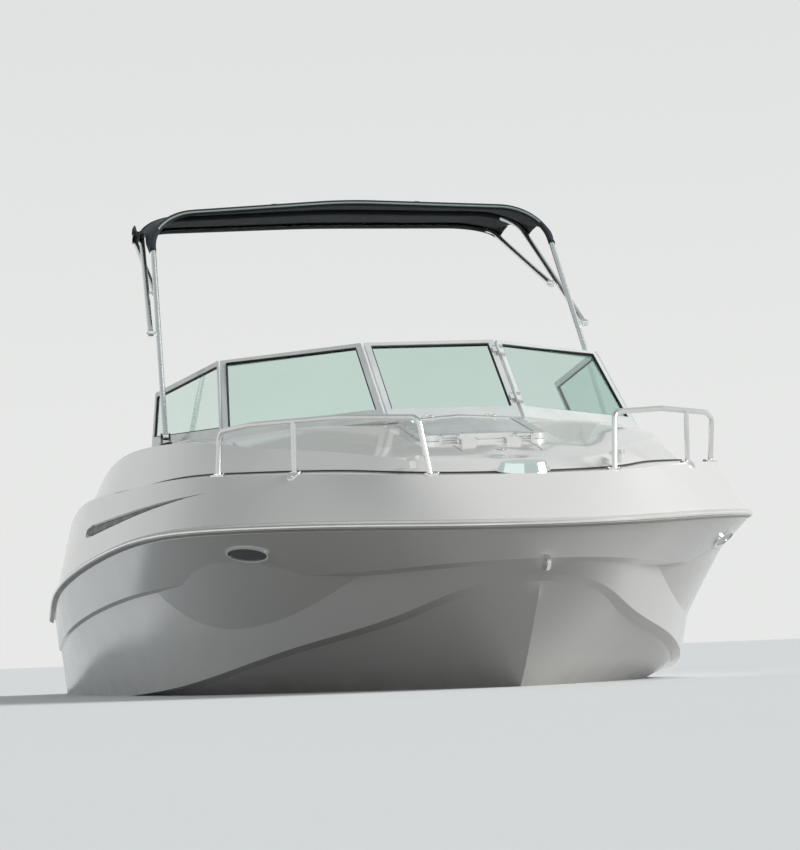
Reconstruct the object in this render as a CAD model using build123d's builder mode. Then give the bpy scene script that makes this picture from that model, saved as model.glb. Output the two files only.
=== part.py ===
"""A 6.5 m cuddy speedboat with a deep-V hull, a cabin trunk, an open cockpit and a folding top.

Frame: +X forward, +Y to port, +Z up. The origin is amidships on the centreline, at the waterline.
All sizes are millimetres.
"""

import os
from math import cos, radians, sin

from build123d import *

# Driving dimensions
STERN_X = -3150.0          # aft edge of the swim platform
TRANSOM_X = -2650.0        # aft face of the transom
SKIN = 25.0                # moulding thickness
RAIL_LIP = 20.0            # half height of the flat band that carries the rub rail
RAIL_PROUD = 24.0          # how far the rub rail stands out
COCKPIT_HALF = 950.0       # half width between the coamings
COCKPIT_FRONT_X = 720.0    # forward edge of the cockpit opening
SOLE_Z = 200.0             # cockpit floor
PLATFORM_TOP_Z = 350.0
PLATFORM_DEEP = 110.0
MIDSHIP_STATIONS = (-3150.0, -1700.0, 200.0, 1500.0)
BOW_STATION_BACK = (1000.0, 420.0, 0.0)   # how far aft of its own tip each forward station lies

# Lines of the hull and deck. Columns: tip x, half-breadths at the stations, heights at the stations.
LINES = {
    "chine_in": (3190, (1030, 1062, 1045, 930, 690, 395, 0), (-45, -34, 2, 74, 178, 285, 395)),
    "chine": (3215, (1075, 1105, 1092, 972, 735, 430, 0), (-38, -27, 10, 84, 192, 303, 420)),
    "knuckle_low": (3268, (1070, 1188, 1178, 1048, 812, 492, 0), (175, 288, 410, 446, 446, 450, 462)),
    "knuckle_top": (3290, (1080, 1202, 1204, 1082, 850, 525, 0), (184, 297, 419, 456, 458, 464, 480)),
    "rail": (3360, (1090, 1230, 1250, 1200, 1035, 660, 0), (380, 495, 618, 655, 650, 632, 608)),
    "deck_edge": (3080, (1040, 1160, 1182, 1122, 1000, 655, 0), (425, 812, 890, 885, 870, 842, 806)),
    "trunk_foot": (2950, (1012, 1100, 1100, 1000, 880, 575, 0), (432, 824, 902, 899, 884, 856, 818)),
    "trunk_edge": (2860, (990, 1030, 1020, 905, 800, 520, 0), (444, 962, 1086, 1022, 985, 925, 862)),
}
KEEL = ((-3150, -400), (-1700, -412), (200, -438), (1500, -408), (2300, -248), (2800, 10), (3165, 352))
RIDGE = ((-3150, 490), (-1700, 1085), (200, 1180), (1300, 1150), (2000, 1046), (2400, 962), (2740, 884))

os.makedirs("parts", exist_ok=True)


def save(name, part):
    """Label a finished piece and write its STEP file."""
    part.label = name
    export_step(part, f"parts/{name}.step")


# Long lines, and skins stretched between them

def fair_line(points, bow_tangent):
    """A fair curve from the stern to the bow."""
    start = Vector(*points[1]) - Vector(*points[0])
    with BuildLine() as line:
        Spline(*(Vector(*point) for point in points), tangents=(start.normalized(), bow_tangent))
    return line.edge()


def line_points(name):
    """Points of one line of the table, as lists that an inset can shift."""
    tip, halves, heights = LINES[name]
    stations = [*MIDSHIP_STATIONS, *(tip - back for back in BOW_STATION_BACK)]
    return [[x, y, z] for x, y, z in zip(stations, halves, heights)]


def moved(points, inward=0.0, up=0.0):
    """The same line, moved towards the centreline and up. Its bow end moves aft by as much."""
    return [[x - (inward if i >= len(points) - 2 else 0.0), max(y - inward, 0.0) if y else 0.0, z + up]
            for i, (x, y, z) in enumerate(points)]


def side_line(points):
    """A line that meets the centreline square at the bow."""
    return fair_line(points, Vector(0, -1, 0))


def centre_line(pairs, up=0.0, back=0.0):
    """A line in the centreline plane, from (x, z) pairs."""
    points = [[x, 0, z + up] for x, z in pairs]
    points[-1][0] -= back
    end = Vector(*points[-1]) - Vector(*points[-2])
    return fair_line(points, end.normalized())


def crown_line(edge_points, ridge_points):
    """The quarter line of a crown that is level where it crosses the centreline."""
    return [[(a[0] + b[0]) / 2, a[1] / 2, a[2] + 0.75 * (b[2] - a[2])]
            for a, b in zip(edge_points, ridge_points)]


def bands(lines):
    """Faces ruled between neighbouring lines, on both sides of the boat."""
    faces = [Face.make_surface_from_curves(a, b) for a, b in zip(lines, lines[1:])]
    return faces + [face.mirror(Plane.XZ) for face in faces]


def crown(edge_points, ridge_points):
    """Port and starboard halves of a smooth crowned top."""
    rows = [edge_points, crown_line(edge_points, ridge_points)]
    wires = [Wire([side_line(row)]) for row in rows]
    wires.append(Wire([fair_line(ridge_points, Vector(1, 0, -0.3).normalized())]))
    half = Shell.make_loft(wires).faces()[0]
    return [half, half.mirror(Plane.XZ)]


def closed_skin(faces, end_x):
    """A solid from a skin's faces, with a flat face across its open stern end."""
    rim = [edge for face in faces for edge in face.edges()
           if all(abs(v.X - end_x) < 0.01 for v in edge.vertices())]
    return Solid(Shell([*faces, *(Face(wire) for wire in Wire.combine(rim))]))


def at_station(line, x):
    """Half-breadth and height of a long line where it passes a station."""
    low, high = 0.0, 1.0
    for _ in range(30):
        middle = (low + high) / 2
        if (line @ middle).X < x:
            low = middle
        else:
            high = middle
    point = line @ low
    return point.Y, point.Z


def bent_tube(points, radius, bends):
    """A round tube along straight runs joined by arcs."""
    with BuildPart() as tube:
        with BuildLine() as path:
            if bends:
                FilletPolyline(*points, radius=bends)
            else:
                Polyline(*points)
        with BuildSketch(Plane(origin=path.line @ 0, z_dir=path.line % 0)):
            Circle(radius)
        sweep()
    return tube.part


def rod(start, end, radius):
    """A round bar between two points."""
    run = Vector(*end) - Vector(*start)
    with BuildPart() as bar:
        with BuildSketch(Plane(origin=start, z_dir=run)):
            Circle(radius)
        extrude(amount=run.length)
    return bar.part


def block(low, high):
    """A square-cornered block between two opposite corners."""
    size = Vector(*high) - Vector(*low)
    with BuildPart() as piece:
        with BuildSketch(Plane.XY.offset(low[2])):
            with Locations((low[0] + size.X / 2, low[1] + size.Y / 2)):
                Rectangle(size.X, size.Y)
        extrude(amount=size.Z)
    return piece.part


PIN_PLAY = 0.4
KNUCKLE_LONG = 12.0
KNUCKLE_GAP = 1.5


def hinge_barrel(centre, along, long, radius, pin):
    """The moving barrel of a hinge, bored for its pin."""
    reach = Vector(*along) * (long / 2)
    bore = rod(Vector(*centre) - reach * 2, Vector(*centre) + reach * 2, pin + PIN_PLAY)
    with BuildPart() as barrel:
        add(rod(Vector(*centre) - reach, Vector(*centre) + reach, radius))
        add(bore, mode=Mode.SUBTRACT)
    return barrel.part


def hinge_knuckles(centre, along, long, radius, pin):
    """The fixed knuckles at both ends of a barrel, and the pin that joins them."""
    near = Vector(*along) * (long / 2 + KNUCKLE_GAP)
    far = Vector(*along) * (long / 2 + KNUCKLE_GAP + KNUCKLE_LONG)
    with BuildPart() as knuckles:
        for side in (-1, 1):
            add(rod(Vector(*centre) + near * side, Vector(*centre) + far * side, radius))
        add(rod(Vector(*centre) - far, Vector(*centre) + far, pin))
    return knuckles.part


# Lines that several pieces share
rail = line_points("rail")
trunk = line_points("trunk_edge")
ridge = [[x, 0.0, z] for x, z in RIDGE]
rail_line = side_line(rail)
inner_rail_line = side_line(moved(rail, inward=SKIN + 10))
outer_crown = crown(trunk, ridge)

# Hull: one skin, folded at the chines and at the topside knuckle, open at the top
bottom_and_topsides = [
    centre_line(KEEL),
    *(side_line(line_points(name)) for name in ("chine_in", "chine", "knuckle_low", "knuckle_top")),
    side_line(moved(rail, up=-RAIL_LIP)),
    rail_line,
]
inside_of_hull = [
    inner_rail_line,
    side_line(moved(line_points("chine"), inward=45, up=20)),
    centre_line(KEEL, up=30, back=30),
]
TRANSOM_THICK = 45.0
PORTLIGHT_X = 2300.0
PORTLIGHT_SIZE = (275.0, 74.0)
PORTLIGHT_RISE = 14.0      # above the middle of the panel
RIM_WIDE = 11.0

panel_top = side_line(moved(rail, up=-RAIL_LIP))
panel_foot = side_line(line_points("knuckle_top"))
top_y, top_z = at_station(panel_top, PORTLIGHT_X)
foot_y, foot_z = at_station(panel_foot, PORTLIGHT_X)
bow_y, bow_z = at_station(panel_top, PORTLIGHT_X + 100)
along_panel = Vector(100, bow_y - top_y, bow_z - top_z).normalized()
up_panel = Vector(0, top_y - foot_y, top_z - foot_z).normalized()
portlight_plane = Plane(
    origin=Vector(PORTLIGHT_X, (top_y + foot_y) / 2, (top_z + foot_z) / 2) + up_panel * PORTLIGHT_RISE,
    x_dir=along_panel,
    z_dir=up_panel.cross(along_panel),
)

with BuildPart() as portlight_holes:
    with BuildSketch(portlight_plane.offset(-80)):
        Ellipse(PORTLIGHT_SIZE[0] / 2, PORTLIGHT_SIZE[1] / 2)
    extrude(amount=160)
    mirror(about=Plane.XZ)

with BuildPart() as hull:
    add(closed_skin(bands(bottom_and_topsides + inside_of_hull), STERN_X))
    split(bisect_by=Plane.YZ.offset(TRANSOM_X), keep=Keep.TOP)
    half_outline = [at_station(line, TRANSOM_X) for line in bottom_and_topsides]
    half_outline = [(y, min(z, PLATFORM_TOP_Z + 6)) for y, z in half_outline[:-1]]
    with BuildSketch(Plane.YZ.offset(TRANSOM_X)):
        with BuildLine():
            Polyline(*half_outline, *((-y, z) for y, z in reversed(half_outline[1:])), close=True)
        make_face()
        offset(amount=-8)
    extrude(amount=TRANSOM_THICK)
    add(portlight_holes.part, mode=Mode.SUBTRACT)
save("hull", hull.part)

with BuildPart() as portlights:
    with BuildSketch(portlight_plane.offset(-12)):
        Ellipse(PORTLIGHT_SIZE[0] / 2 - 0.5, PORTLIGHT_SIZE[1] / 2 - 0.5)
    extrude(amount=14)
    mirror(about=Plane.XZ)
save("portlights", portlights.part)

with BuildPart() as portlight_rims:
    with BuildSketch(portlight_plane.offset(-8)):
        Ellipse(PORTLIGHT_SIZE[0] / 2 + RIM_WIDE, PORTLIGHT_SIZE[1] / 2 + RIM_WIDE)
        Ellipse(PORTLIGHT_SIZE[0] / 2, PORTLIGHT_SIZE[1] / 2, mode=Mode.SUBTRACT)
    extrude(amount=13)
    mirror(about=Plane.XZ)
    add(hull.part, mode=Mode.SUBTRACT)
save("portlight_rims", portlight_rims.part)

# Deck: flanks, side decks and the crowned cabin trunk, cut away over the cockpit
deck_side = [
    rail_line,
    side_line(moved(rail, up=RAIL_LIP)),
    side_line(line_points("deck_edge")),
    side_line(line_points("trunk_foot")),
    side_line(trunk),
]
inner_trunk = moved(trunk, inward=18, up=-SKIN)
inner_ridge = [[x, y, z - SKIN] for x, y, z in ridge[:-1]] + [[ridge[-1][0] - 18, 0.0, ridge[-1][2] - SKIN]]
inside_of_deck = [
    side_line(inner_trunk),
    side_line(moved(line_points("trunk_foot"), inward=18, up=-SKIN)),
    side_line(moved(line_points("deck_edge"), inward=SKIN, up=-SKIN)),
    inner_rail_line,
]
deck_faces = [
    *bands(deck_side),
    *outer_crown,
    *crown(inner_trunk, inner_ridge),
    *bands(inside_of_deck),
    *bands([inner_rail_line, rail_line]),
]
HATCH_X = 2075.0
HATCH_HOLE = 460.0
HATCH_LAP = 25.0
LOCKER_X = 2530.0
LOCKER_HOLE = (250.0, 320.0)
LID_GAP = 6.0
GROOVE_DEEP = 9.0
GROOVE_CLEAR = 4.0
GROOVE = (
    (1980, 808), (1500, 800), (-480, 771), (-620, 755),
    (-640, 738), (-620, 722), (-480, 716), (1400, 782),
)


def groove_cut(side):
    """The space of the long styling groove in one flank."""
    flank = Face.make_surface_from_curves(deck_side[1], deck_side[2])
    if side < 0:
        flank = flank.mirror(Plane.XZ)
    flank = flank.moved(Location((0, side * GROOVE_CLEAR, 0)))
    with BuildPart() as cut:
        add(Solid.extrude(flank, Vector(0, -side * (GROOVE_DEEP + GROOVE_CLEAR), 0)))
        with BuildSketch(Plane.XZ):
            with BuildLine():
                Polyline(*GROOVE, close=True)
            make_face()
        extrude(amount=1400, both=True, mode=Mode.INTERSECT)
    return cut.part


groove_cuts = [groove_cut(side) for side in (-1, 1)]

with BuildPart() as deck:
    add(closed_skin(deck_faces, STERN_X))
    with BuildSketch(Plane.XY.offset(PLATFORM_TOP_Z - 100)) as cockpit_cut:
        with Locations(((STERN_X - 100 + COCKPIT_FRONT_X) / 2, 0)):
            Rectangle(COCKPIT_FRONT_X - STERN_X + 100, 2 * COCKPIT_HALF)
        fillet(cockpit_cut.vertices().group_by(Axis.X)[-1], 90)
    extrude(amount=1500, mode=Mode.SUBTRACT)
    with BuildSketch(Plane.XY.offset(700)):
        with Locations((HATCH_X, 0)):
            RectangleRounded(HATCH_HOLE, HATCH_HOLE, 30)
        with Locations((LOCKER_X, 0)):
            RectangleRounded(*LOCKER_HOLE, 40)
    extrude(amount=700, mode=Mode.SUBTRACT)
    for cut in groove_cuts:
        add(cut, mode=Mode.SUBTRACT)
save("deck", deck.part)

# What lies under the deck's upper surface, to seat the fittings that stand on it
below_deck = [Solid.extrude(face, Vector(0, 0, -220)) for face in (*bands(deck_side[1:]), *outer_crown)]


def seated(piece):
    """The part of a fitting that stands above the deck."""
    with BuildPart() as trimmed:
        add(piece)
        for body in below_deck:
            add(body, mode=Mode.SUBTRACT)
    return trimmed.part


# A thin layer on the deck's upper surface, for flanges and base plates
LAYER = 7.0
deck_layer = [Solid.extrude(face, Vector(0, 0, LAYER)) for face in (*bands(deck_side[1:]), *outer_crown)]


def flanges(spots, radius):
    """Round flanges that follow the deck, one at each foot and its mirror image."""
    with BuildPart() as discs:
        with BuildSketch(Plane.XY.offset(500)):
            with Locations(*((x, side * y) for x, y in spots for side in (-1, 1))):
                Circle(radius)
        extrude(amount=900)
        add(deck_layer, mode=Mode.INTERSECT)
    return discs.part


# Rub rail round the joint between hull and deck, with a bright bead along its face
INSERT_PROUD = 5.0
rail_face = RAIL_PROUD - INSERT_PROUD
rub_rail_section = ((RAIL_LIP - 2, 0.0), (9, rail_face), (-9, rail_face), (2 - RAIL_LIP, 0.0))
insert_section = ((5, rail_face), (3, RAIL_PROUD), (-3, RAIL_PROUD), (-5, rail_face))
for name, section in (("rub_rail", rub_rail_section), ("rub_rail_insert", insert_section)):
    with BuildPart() as strip:
        corners = [side_line(moved(rail, inward=-proud, up=up)) for up, proud in section]
        add(closed_skin(bands([*corners, corners[0]]), STERN_X))
    save(name, strip.part)

# Swim platform between the stern wings, with the ladder's hinge lugs on its aft edge
LADDER_Y = 560.0
LADDER_HALF = 150.0
LADDER_PIVOT = (STERN_X - 22, PLATFORM_TOP_Z + 66)
LADDER_TUBE = 12.0
LADDER_PIN = 6.0
LUG_HALF = 16.0
with BuildPart() as swim_platform:
    with BuildSketch(Plane.XY.offset(PLATFORM_TOP_Z)) as platform_plan:
        with Locations(((STERN_X + TRANSOM_X) / 2, 0)):
            Rectangle(TRANSOM_X - STERN_X, 2 * COCKPIT_HALF - 60)
        fillet(platform_plan.vertices().group_by(Axis.X)[0], 90)
    extrude(amount=-PLATFORM_DEEP)
    chamfer(swim_platform.edges().group_by(Axis.Z)[0].sort_by(Axis.X)[0:3], 40)
    for side in (-1, 1):
        with BuildSketch(Plane.XZ.offset(-(LADDER_Y + side * (LADDER_HALF + LUG_HALF + 4) + 5))):
            with BuildLine():
                Polyline((STERN_X + 95, PLATFORM_TOP_Z), (STERN_X + 8, PLATFORM_TOP_Z),
                         (LADDER_PIVOT[0] - 14, LADDER_PIVOT[1] - 6),
                         (LADDER_PIVOT[0] - 14, LADDER_PIVOT[1] + 14),
                         (LADDER_PIVOT[0] + 20, LADDER_PIVOT[1] + 14), close=True)
            make_face()
            with Locations(LADDER_PIVOT):
                Circle(LADDER_PIN + PIN_PLAY, mode=Mode.SUBTRACT)
        extrude(amount=10)
save("swim_platform", swim_platform.part)

# Cockpit: side linings up to the coamings, the box round the engine, and the sole between them
WALL = 22.0
SOLE_THICK = 24.0
SOLE_UNDER = SOLE_Z - SOLE_THICK
LINER_HALF = COCKPIT_HALF - 0.5
LINER_INNER = LINER_HALF - WALL
LINER_FRONT_X = COCKPIT_FRONT_X - 4
BOX_FRONT_X = -1980.0
BOX_SIDE_Y = 440.0
BOX_TOP_Z = 600.0
WALKWAY = (500.0, 905.0)
DOOR_TOP_Z = 620.0
HINGE_R = 8.0
HINGE_PIN = 3.5
HINGE_LONG = 80.0
ENGINE_HINGE = [Vector(-2602.5, y, 622) for y in (-614, 146)]
DOOR_HINGE_R = 6.5
DOOR_HINGE_LONG = 50.0
DOOR_HINGE = [Vector(-2576, 893, z) for z in (310, 530)]
COAMING_TOP = (
    (-3140, 415), (-2650, 745), (-2100, 878), (-1500, 985), (-700, 1062), (100, 1086), (LINER_FRONT_X, 1072),
)
wall_x = TRANSOM_X + TRANSOM_THICK

with BuildPart() as lining:
    with BuildSketch(Plane.XZ.offset(-LINER_HALF)):
        with BuildLine():
            Spline(*COAMING_TOP)
            Polyline(COAMING_TOP[-1], (LINER_FRONT_X, SOLE_UNDER), (wall_x, SOLE_UNDER),
                     (wall_x, PLATFORM_TOP_Z), (-3140, PLATFORM_TOP_Z), COAMING_TOP[0])
        make_face()
    extrude(amount=WALL)
    add(deck.part, mode=Mode.SUBTRACT)

with BuildPart() as cockpit_side_starboard:
    add(lining.part.mirror(Plane.XZ))
save("cockpit_side_starboard", cockpit_side_starboard.part)

# The port lining has a return beside the walkway, with the fixed halves of the door's hinges
with BuildPart() as cockpit_side_port:
    add(lining.part)
    add(block((wall_x, WALKWAY[1], SOLE_UNDER), (wall_x + WALL, LINER_HALF, DOOR_TOP_Z)))
    for centre in DOOR_HINGE:
        add(hinge_knuckles(centre, (0, 0, 1), DOOR_HINGE_LONG, DOOR_HINGE_R, HINGE_PIN))
        for side in (-1, 1):
            z = centre.Z + side * (DOOR_HINGE_LONG / 2 + KNUCKLE_GAP + KNUCKLE_LONG / 2)
            low, high = z - KNUCKLE_LONG / 2, z + KNUCKLE_LONG / 2
            add(block((centre.X - 6.4, centre.Y, low), (centre.X - 1, centre.Y + 25, high)))
            add(block((centre.X - 10, centre.Y + 14, low), (centre.X - 1, centre.Y + 25, high)))
save("cockpit_side_port", cockpit_side_port.part)

# The transom wall and the box round the engine, with the fixed halves of the engine hatch's hinges
with BuildPart() as engine_box:
    for low_corner, high_corner in (
        ((wall_x, -LINER_INNER), (wall_x + WALL, WALKWAY[0])),
        ((BOX_FRONT_X - WALL / 2, -LINER_INNER), (BOX_FRONT_X + WALL / 2, BOX_SIDE_Y + WALL / 2)),
        ((wall_x, BOX_SIDE_Y - WALL / 2), (BOX_FRONT_X, BOX_SIDE_Y + WALL / 2)),
    ):
        add(block((*low_corner, SOLE_UNDER), (*high_corner, BOX_TOP_Z)))
    for centre in ENGINE_HINGE:
        add(hinge_knuckles(centre, (0, 1, 0), HINGE_LONG, HINGE_R, HINGE_PIN))
        for side in (-1, 1):
            y = centre.Y + side * (HINGE_LONG / 2 + KNUCKLE_GAP + KNUCKLE_LONG / 2)
            low, high = y - KNUCKLE_LONG / 2, y + KNUCKLE_LONG / 2
            add(block((wall_x, low, BOX_TOP_Z - 2), (wall_x + 9, high, centre.Z)))
save("engine_box", engine_box.part)

# The sole goes round the engine box, which is open below
with BuildPart() as cockpit_sole:
    add(block((wall_x, -LINER_INNER, SOLE_UNDER), (LINER_FRONT_X, LINER_INNER, SOLE_Z)))
    box_corner = (BOX_FRONT_X + WALL / 2, BOX_SIDE_Y + WALL / 2, SOLE_Z)
    add(block((wall_x, -LINER_INNER, SOLE_UNDER), box_corner), mode=Mode.SUBTRACT)
    add(engine_box.part, mode=Mode.SUBTRACT)
    add(cockpit_side_port.part, mode=Mode.SUBTRACT)
save("cockpit_sole", cockpit_sole.part)

# Cabin: bulkhead with its companionway, berth and locker
BULKHEAD_X = COCKPIT_FRONT_X
BULKHEAD_THICK = 22.0
COMPANIONWAY = (500.0, 250.0, 1010.0)   # width, foot, head
with BuildPart() as cabin_bulkhead:
    with BuildSketch(Plane.YZ.offset(BULKHEAD_X)):
        with BuildLine():
            ThreePointArc((-LINER_HALF, 1036), (0, 1136), (LINER_HALF, 1036))
            Polyline((LINER_HALF, 1036), (LINER_HALF, 120), (-LINER_HALF, 120), (-LINER_HALF, 1036))
        make_face()
        with Locations((0, (COMPANIONWAY[1] + COMPANIONWAY[2]) / 2)):
            RectangleRounded(COMPANIONWAY[0], COMPANIONWAY[2] - COMPANIONWAY[1], 50, mode=Mode.SUBTRACT)
    extrude(amount=BULKHEAD_THICK)
save("cabin_bulkhead", cabin_bulkhead.part)

DOOR_THICK = 14.0
with BuildPart() as companionway_door:
    with BuildSketch(Plane.YZ.offset(BULKHEAD_X + BULKHEAD_THICK + 5)):
        with Locations((0, (COMPANIONWAY[1] + COMPANIONWAY[2]) / 2)):
            RectangleRounded(COMPANIONWAY[0] + 40, COMPANIONWAY[2] - COMPANIONWAY[1] + 30, 30)
    extrude(amount=DOOR_THICK)
save("companionway_door", companionway_door.part)

BERTH_TOP_Z = 400.0
berth_plan = ((900, 640), (1500, 560), (2150, 330), (2150, -330), (1500, -560), (900, -640))
with BuildPart() as cabin_berth:
    with BuildSketch(Plane.XY.offset(BERTH_TOP_Z)):
        with BuildLine():
            Polyline(*berth_plan, close=True)
        make_face()
    extrude(amount=-180, taper=12)
save("cabin_berth", cabin_berth.part)

with BuildPart() as berth_cushion:
    with BuildSketch(Plane.XY.offset(BERTH_TOP_Z + 1)) as cushion_plan:
        with BuildLine():
            Polyline(*berth_plan, close=True)
        make_face()
        offset(amount=-12)
        fillet(cushion_plan.vertices(), 40)
    extrude(amount=90)
save("berth_cushion", berth_cushion.part)

with BuildPart() as anchor_locker:
    with BuildSketch(Plane.XY.offset(610)):
        with Locations((LOCKER_X, 0)):
            RectangleRounded(LOCKER_HOLE[0] + 50, LOCKER_HOLE[1] + 50, 50)
    extrude(amount=240)
    with BuildSketch(Plane.XY.offset(625)):
        with Locations((LOCKER_X, 0)):
            RectangleRounded(LOCKER_HOLE[0] + 20, LOCKER_HOLE[1] + 20, 40)
    extrude(amount=260, mode=Mode.SUBTRACT)
save("anchor_locker", anchor_locker.part)


def crown_slab(low, high):
    """A slab that follows the crown of the trunk between two heights above it."""
    lifted = [face.moved(Location((0, 0, low))) for face in outer_crown]
    return [Solid.extrude(face, Vector(0, 0, high - low)) for face in lifted]


def crown_lid(x, size_x, size_y, corner, low, high):
    """A lid in the trunk: the piece of crowned slab inside its own outline."""
    with BuildPart() as lid:
        for half in crown_slab(low, high):
            add(half)
        with BuildSketch(Plane.XY.offset(600)):
            with Locations((x, 0)):
                RectangleRounded(size_x, size_y, corner)
        extrude(amount=900, mode=Mode.INTERSECT)
    return lid.part


hatch_outer = HATCH_HOLE + 2 * HATCH_LAP
LID_HINGE_LONG = 56.0
LOCKER_HINGE_R = 7.0
HATCH_HINGE = [Vector(2339.5, y, 990) for y in (-150, 150)]
LOCKER_HINGE = [Vector(2397, y, 972) for y in (-90, 90)]
with BuildPart() as deck_hatch_frame:
    add(crown_lid(HATCH_X, hatch_outer, hatch_outer, 50, 1.0, 24.0))
    add(crown_lid(HATCH_X, HATCH_HOLE - 40, HATCH_HOLE - 40, 20, -10.0, 40.0), mode=Mode.SUBTRACT)
    for centre in HATCH_HINGE:
        add(hinge_barrel(centre, (0, 1, 0), LID_HINGE_LONG, HINGE_R, HINGE_PIN))
        add(block((centre.X - 20, centre.Y - LID_HINGE_LONG / 2, centre.Z - 4),
                  (centre.X - HINGE_PIN - 1, centre.Y + LID_HINGE_LONG / 2, centre.Z + 6)))
save("deck_hatch_frame", deck_hatch_frame.part)

with BuildPart() as deck_hatch_glass:
    add(crown_lid(HATCH_X, HATCH_HOLE - 41, HATCH_HOLE - 41, 19.5, 8.0, 20.0))
save("deck_hatch_glass", deck_hatch_glass.part)

with BuildPart() as anchor_locker_lid:
    add(crown_lid(LOCKER_X, LOCKER_HOLE[0] - 2 * LID_GAP, LOCKER_HOLE[1] - 2 * LID_GAP, 36, -18.0, 0.0))
    for centre in LOCKER_HINGE:
        y_low, y_high = centre.Y - LID_HINGE_LONG / 2, centre.Y + LID_HINGE_LONG / 2
        add(hinge_barrel(centre, (0, 1, 0), LID_HINGE_LONG, LOCKER_HINGE_R, HINGE_PIN))
        add(block((centre.X + HINGE_PIN + 1, y_low, centre.Z - 4), (centre.X + 42, y_high, centre.Z + 3)))
        add(block((centre.X + 16, y_low, centre.Z - 26), (centre.X + 42, y_high, centre.Z)))
save("anchor_locker_lid", anchor_locker_lid.part)

with BuildPart() as lid_hinges:
    for centres, radius in ((HATCH_HINGE, HINGE_R), (LOCKER_HINGE, LOCKER_HINGE_R)):
        for centre in centres:
            add(hinge_knuckles(centre, (0, 1, 0), LID_HINGE_LONG, radius, HINGE_PIN))
            for side in (-1, 1):
                y = centre.Y + side * (LID_HINGE_LONG / 2 + KNUCKLE_GAP + KNUCKLE_LONG / 2)
                add(block((centre.X - radius, y - KNUCKLE_LONG / 2, centre.Z - 30),
                          (centre.X + radius, y + KNUCKLE_LONG / 2, centre.Z)))
save("lid_hinges", seated(lid_hinges.part))

# Engine: one plain block on the centreline, against the transom
with BuildPart() as engine:
    with BuildSketch(Plane.XY.offset(-230)):
        with Locations((-2295, 0)):
            Rectangle(480, 560)
    extrude(amount=700)
    chamfer(engine.edges().group_by(Axis.Z)[-1], 60)
save("engine", engine.part)

# Aft bench, engine hatch and sun pad
BENCH_BACK_X = BOX_FRONT_X + WALL / 2 + 0.5
BENCH_DEEP = 430.0
BENCH_ENDS = (0.5 - LINER_INNER, BOX_SIDE_Y)
BENCH_TOP_Z = 490.0
BENCH_FRONT_X = BENCH_BACK_X + BENCH_DEEP
bench_y = sum(BENCH_ENDS) / 2
bench_long = BENCH_ENDS[1] - BENCH_ENDS[0]
with BuildPart() as aft_bench:
    with BuildSketch(Plane.XZ.offset(-BENCH_ENDS[1])):
        with BuildLine():
            Polyline((BENCH_BACK_X, SOLE_Z), (BENCH_BACK_X, BENCH_TOP_Z), (BENCH_FRONT_X, BENCH_TOP_Z),
                     (BENCH_FRONT_X, BENCH_TOP_Z - 70), (BENCH_FRONT_X - 90, SOLE_Z), close=True)
        make_face()
    extrude(amount=bench_long)
save("aft_bench", aft_bench.part)

with BuildPart() as bench_cushions:
    with BuildSketch(Plane.XY.offset(BENCH_TOP_Z + 1)) as seat_plan:
        with Locations((BENCH_BACK_X + BENCH_DEEP / 2 + 1, bench_y)):
            Rectangle(BENCH_DEEP - 4, bench_long - 8)
        fillet(seat_plan.vertices(), 30)
    extrude(amount=110)
    with BuildSketch(Plane.YZ.offset(BENCH_BACK_X + 1)) as back_plan:
        with Locations((bench_y, 740)):
            Rectangle(bench_long - 8, 250)
        fillet(back_plan.vertices(), 40)
    extrude(amount=110)
save("bench_cushions", bench_cushions.part)

ENGINE_HATCH = (wall_x + 12, BOX_FRONT_X + WALL / 2 - 2, 8 - LINER_INNER, BOX_SIDE_Y + WALL / 2)
hatch_centre = ((ENGINE_HATCH[0] + ENGINE_HATCH[1]) / 2, (ENGINE_HATCH[2] + ENGINE_HATCH[3]) / 2)
hatch_size = (ENGINE_HATCH[1] - ENGINE_HATCH[0], ENGINE_HATCH[3] - ENGINE_HATCH[2])
with BuildPart() as engine_hatch:
    with BuildSketch(Plane.XY.offset(BOX_TOP_Z + 5)):
        with Locations(hatch_centre):
            RectangleRounded(*hatch_size, 30)
    extrude(amount=35)
    for centre in ENGINE_HINGE:
        add(hinge_barrel(centre, (0, 1, 0), HINGE_LONG, HINGE_R, HINGE_PIN))
        add(block((centre.X + HINGE_PIN + 1, centre.Y - HINGE_LONG / 2, centre.Z - 6),
                  (centre.X + 14, centre.Y + HINGE_LONG / 2, centre.Z + 6)))
save("engine_hatch", engine_hatch.part)

with BuildPart() as sun_pad:
    with BuildSketch(Plane.XY.offset(BOX_TOP_Z + 41)):
        with Locations(hatch_centre):
            RectangleRounded(hatch_size[0] - 10, hatch_size[1] - 10, 40)
    extrude(amount=85)
save("sun_pad", sun_pad.part)

# Transom door across the port walkway, hung on its outboard edge
with BuildPart() as transom_door:
    with BuildSketch(Plane.YZ.offset(wall_x + 6)):
        with Locations(((WALKWAY[0] + WALKWAY[1]) / 2, (SOLE_Z + 8 + DOOR_TOP_Z) / 2)):
            RectangleRounded(WALKWAY[1] - WALKWAY[0] - 14, DOOR_TOP_Z - SOLE_Z - 8, 25)
    extrude(amount=WALL - 6)
    for centre in DOOR_HINGE:
        low, high = centre.Z - DOOR_HINGE_LONG / 2, centre.Z + DOOR_HINGE_LONG / 2
        add(hinge_barrel(centre, (0, 0, 1), DOOR_HINGE_LONG, DOOR_HINGE_R, HINGE_PIN))
        add(block((centre.X - 9, centre.Y - 28, low), (centre.X - 2, centre.Y - HINGE_PIN - 1, high)))
save("transom_door", transom_door.part)

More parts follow.
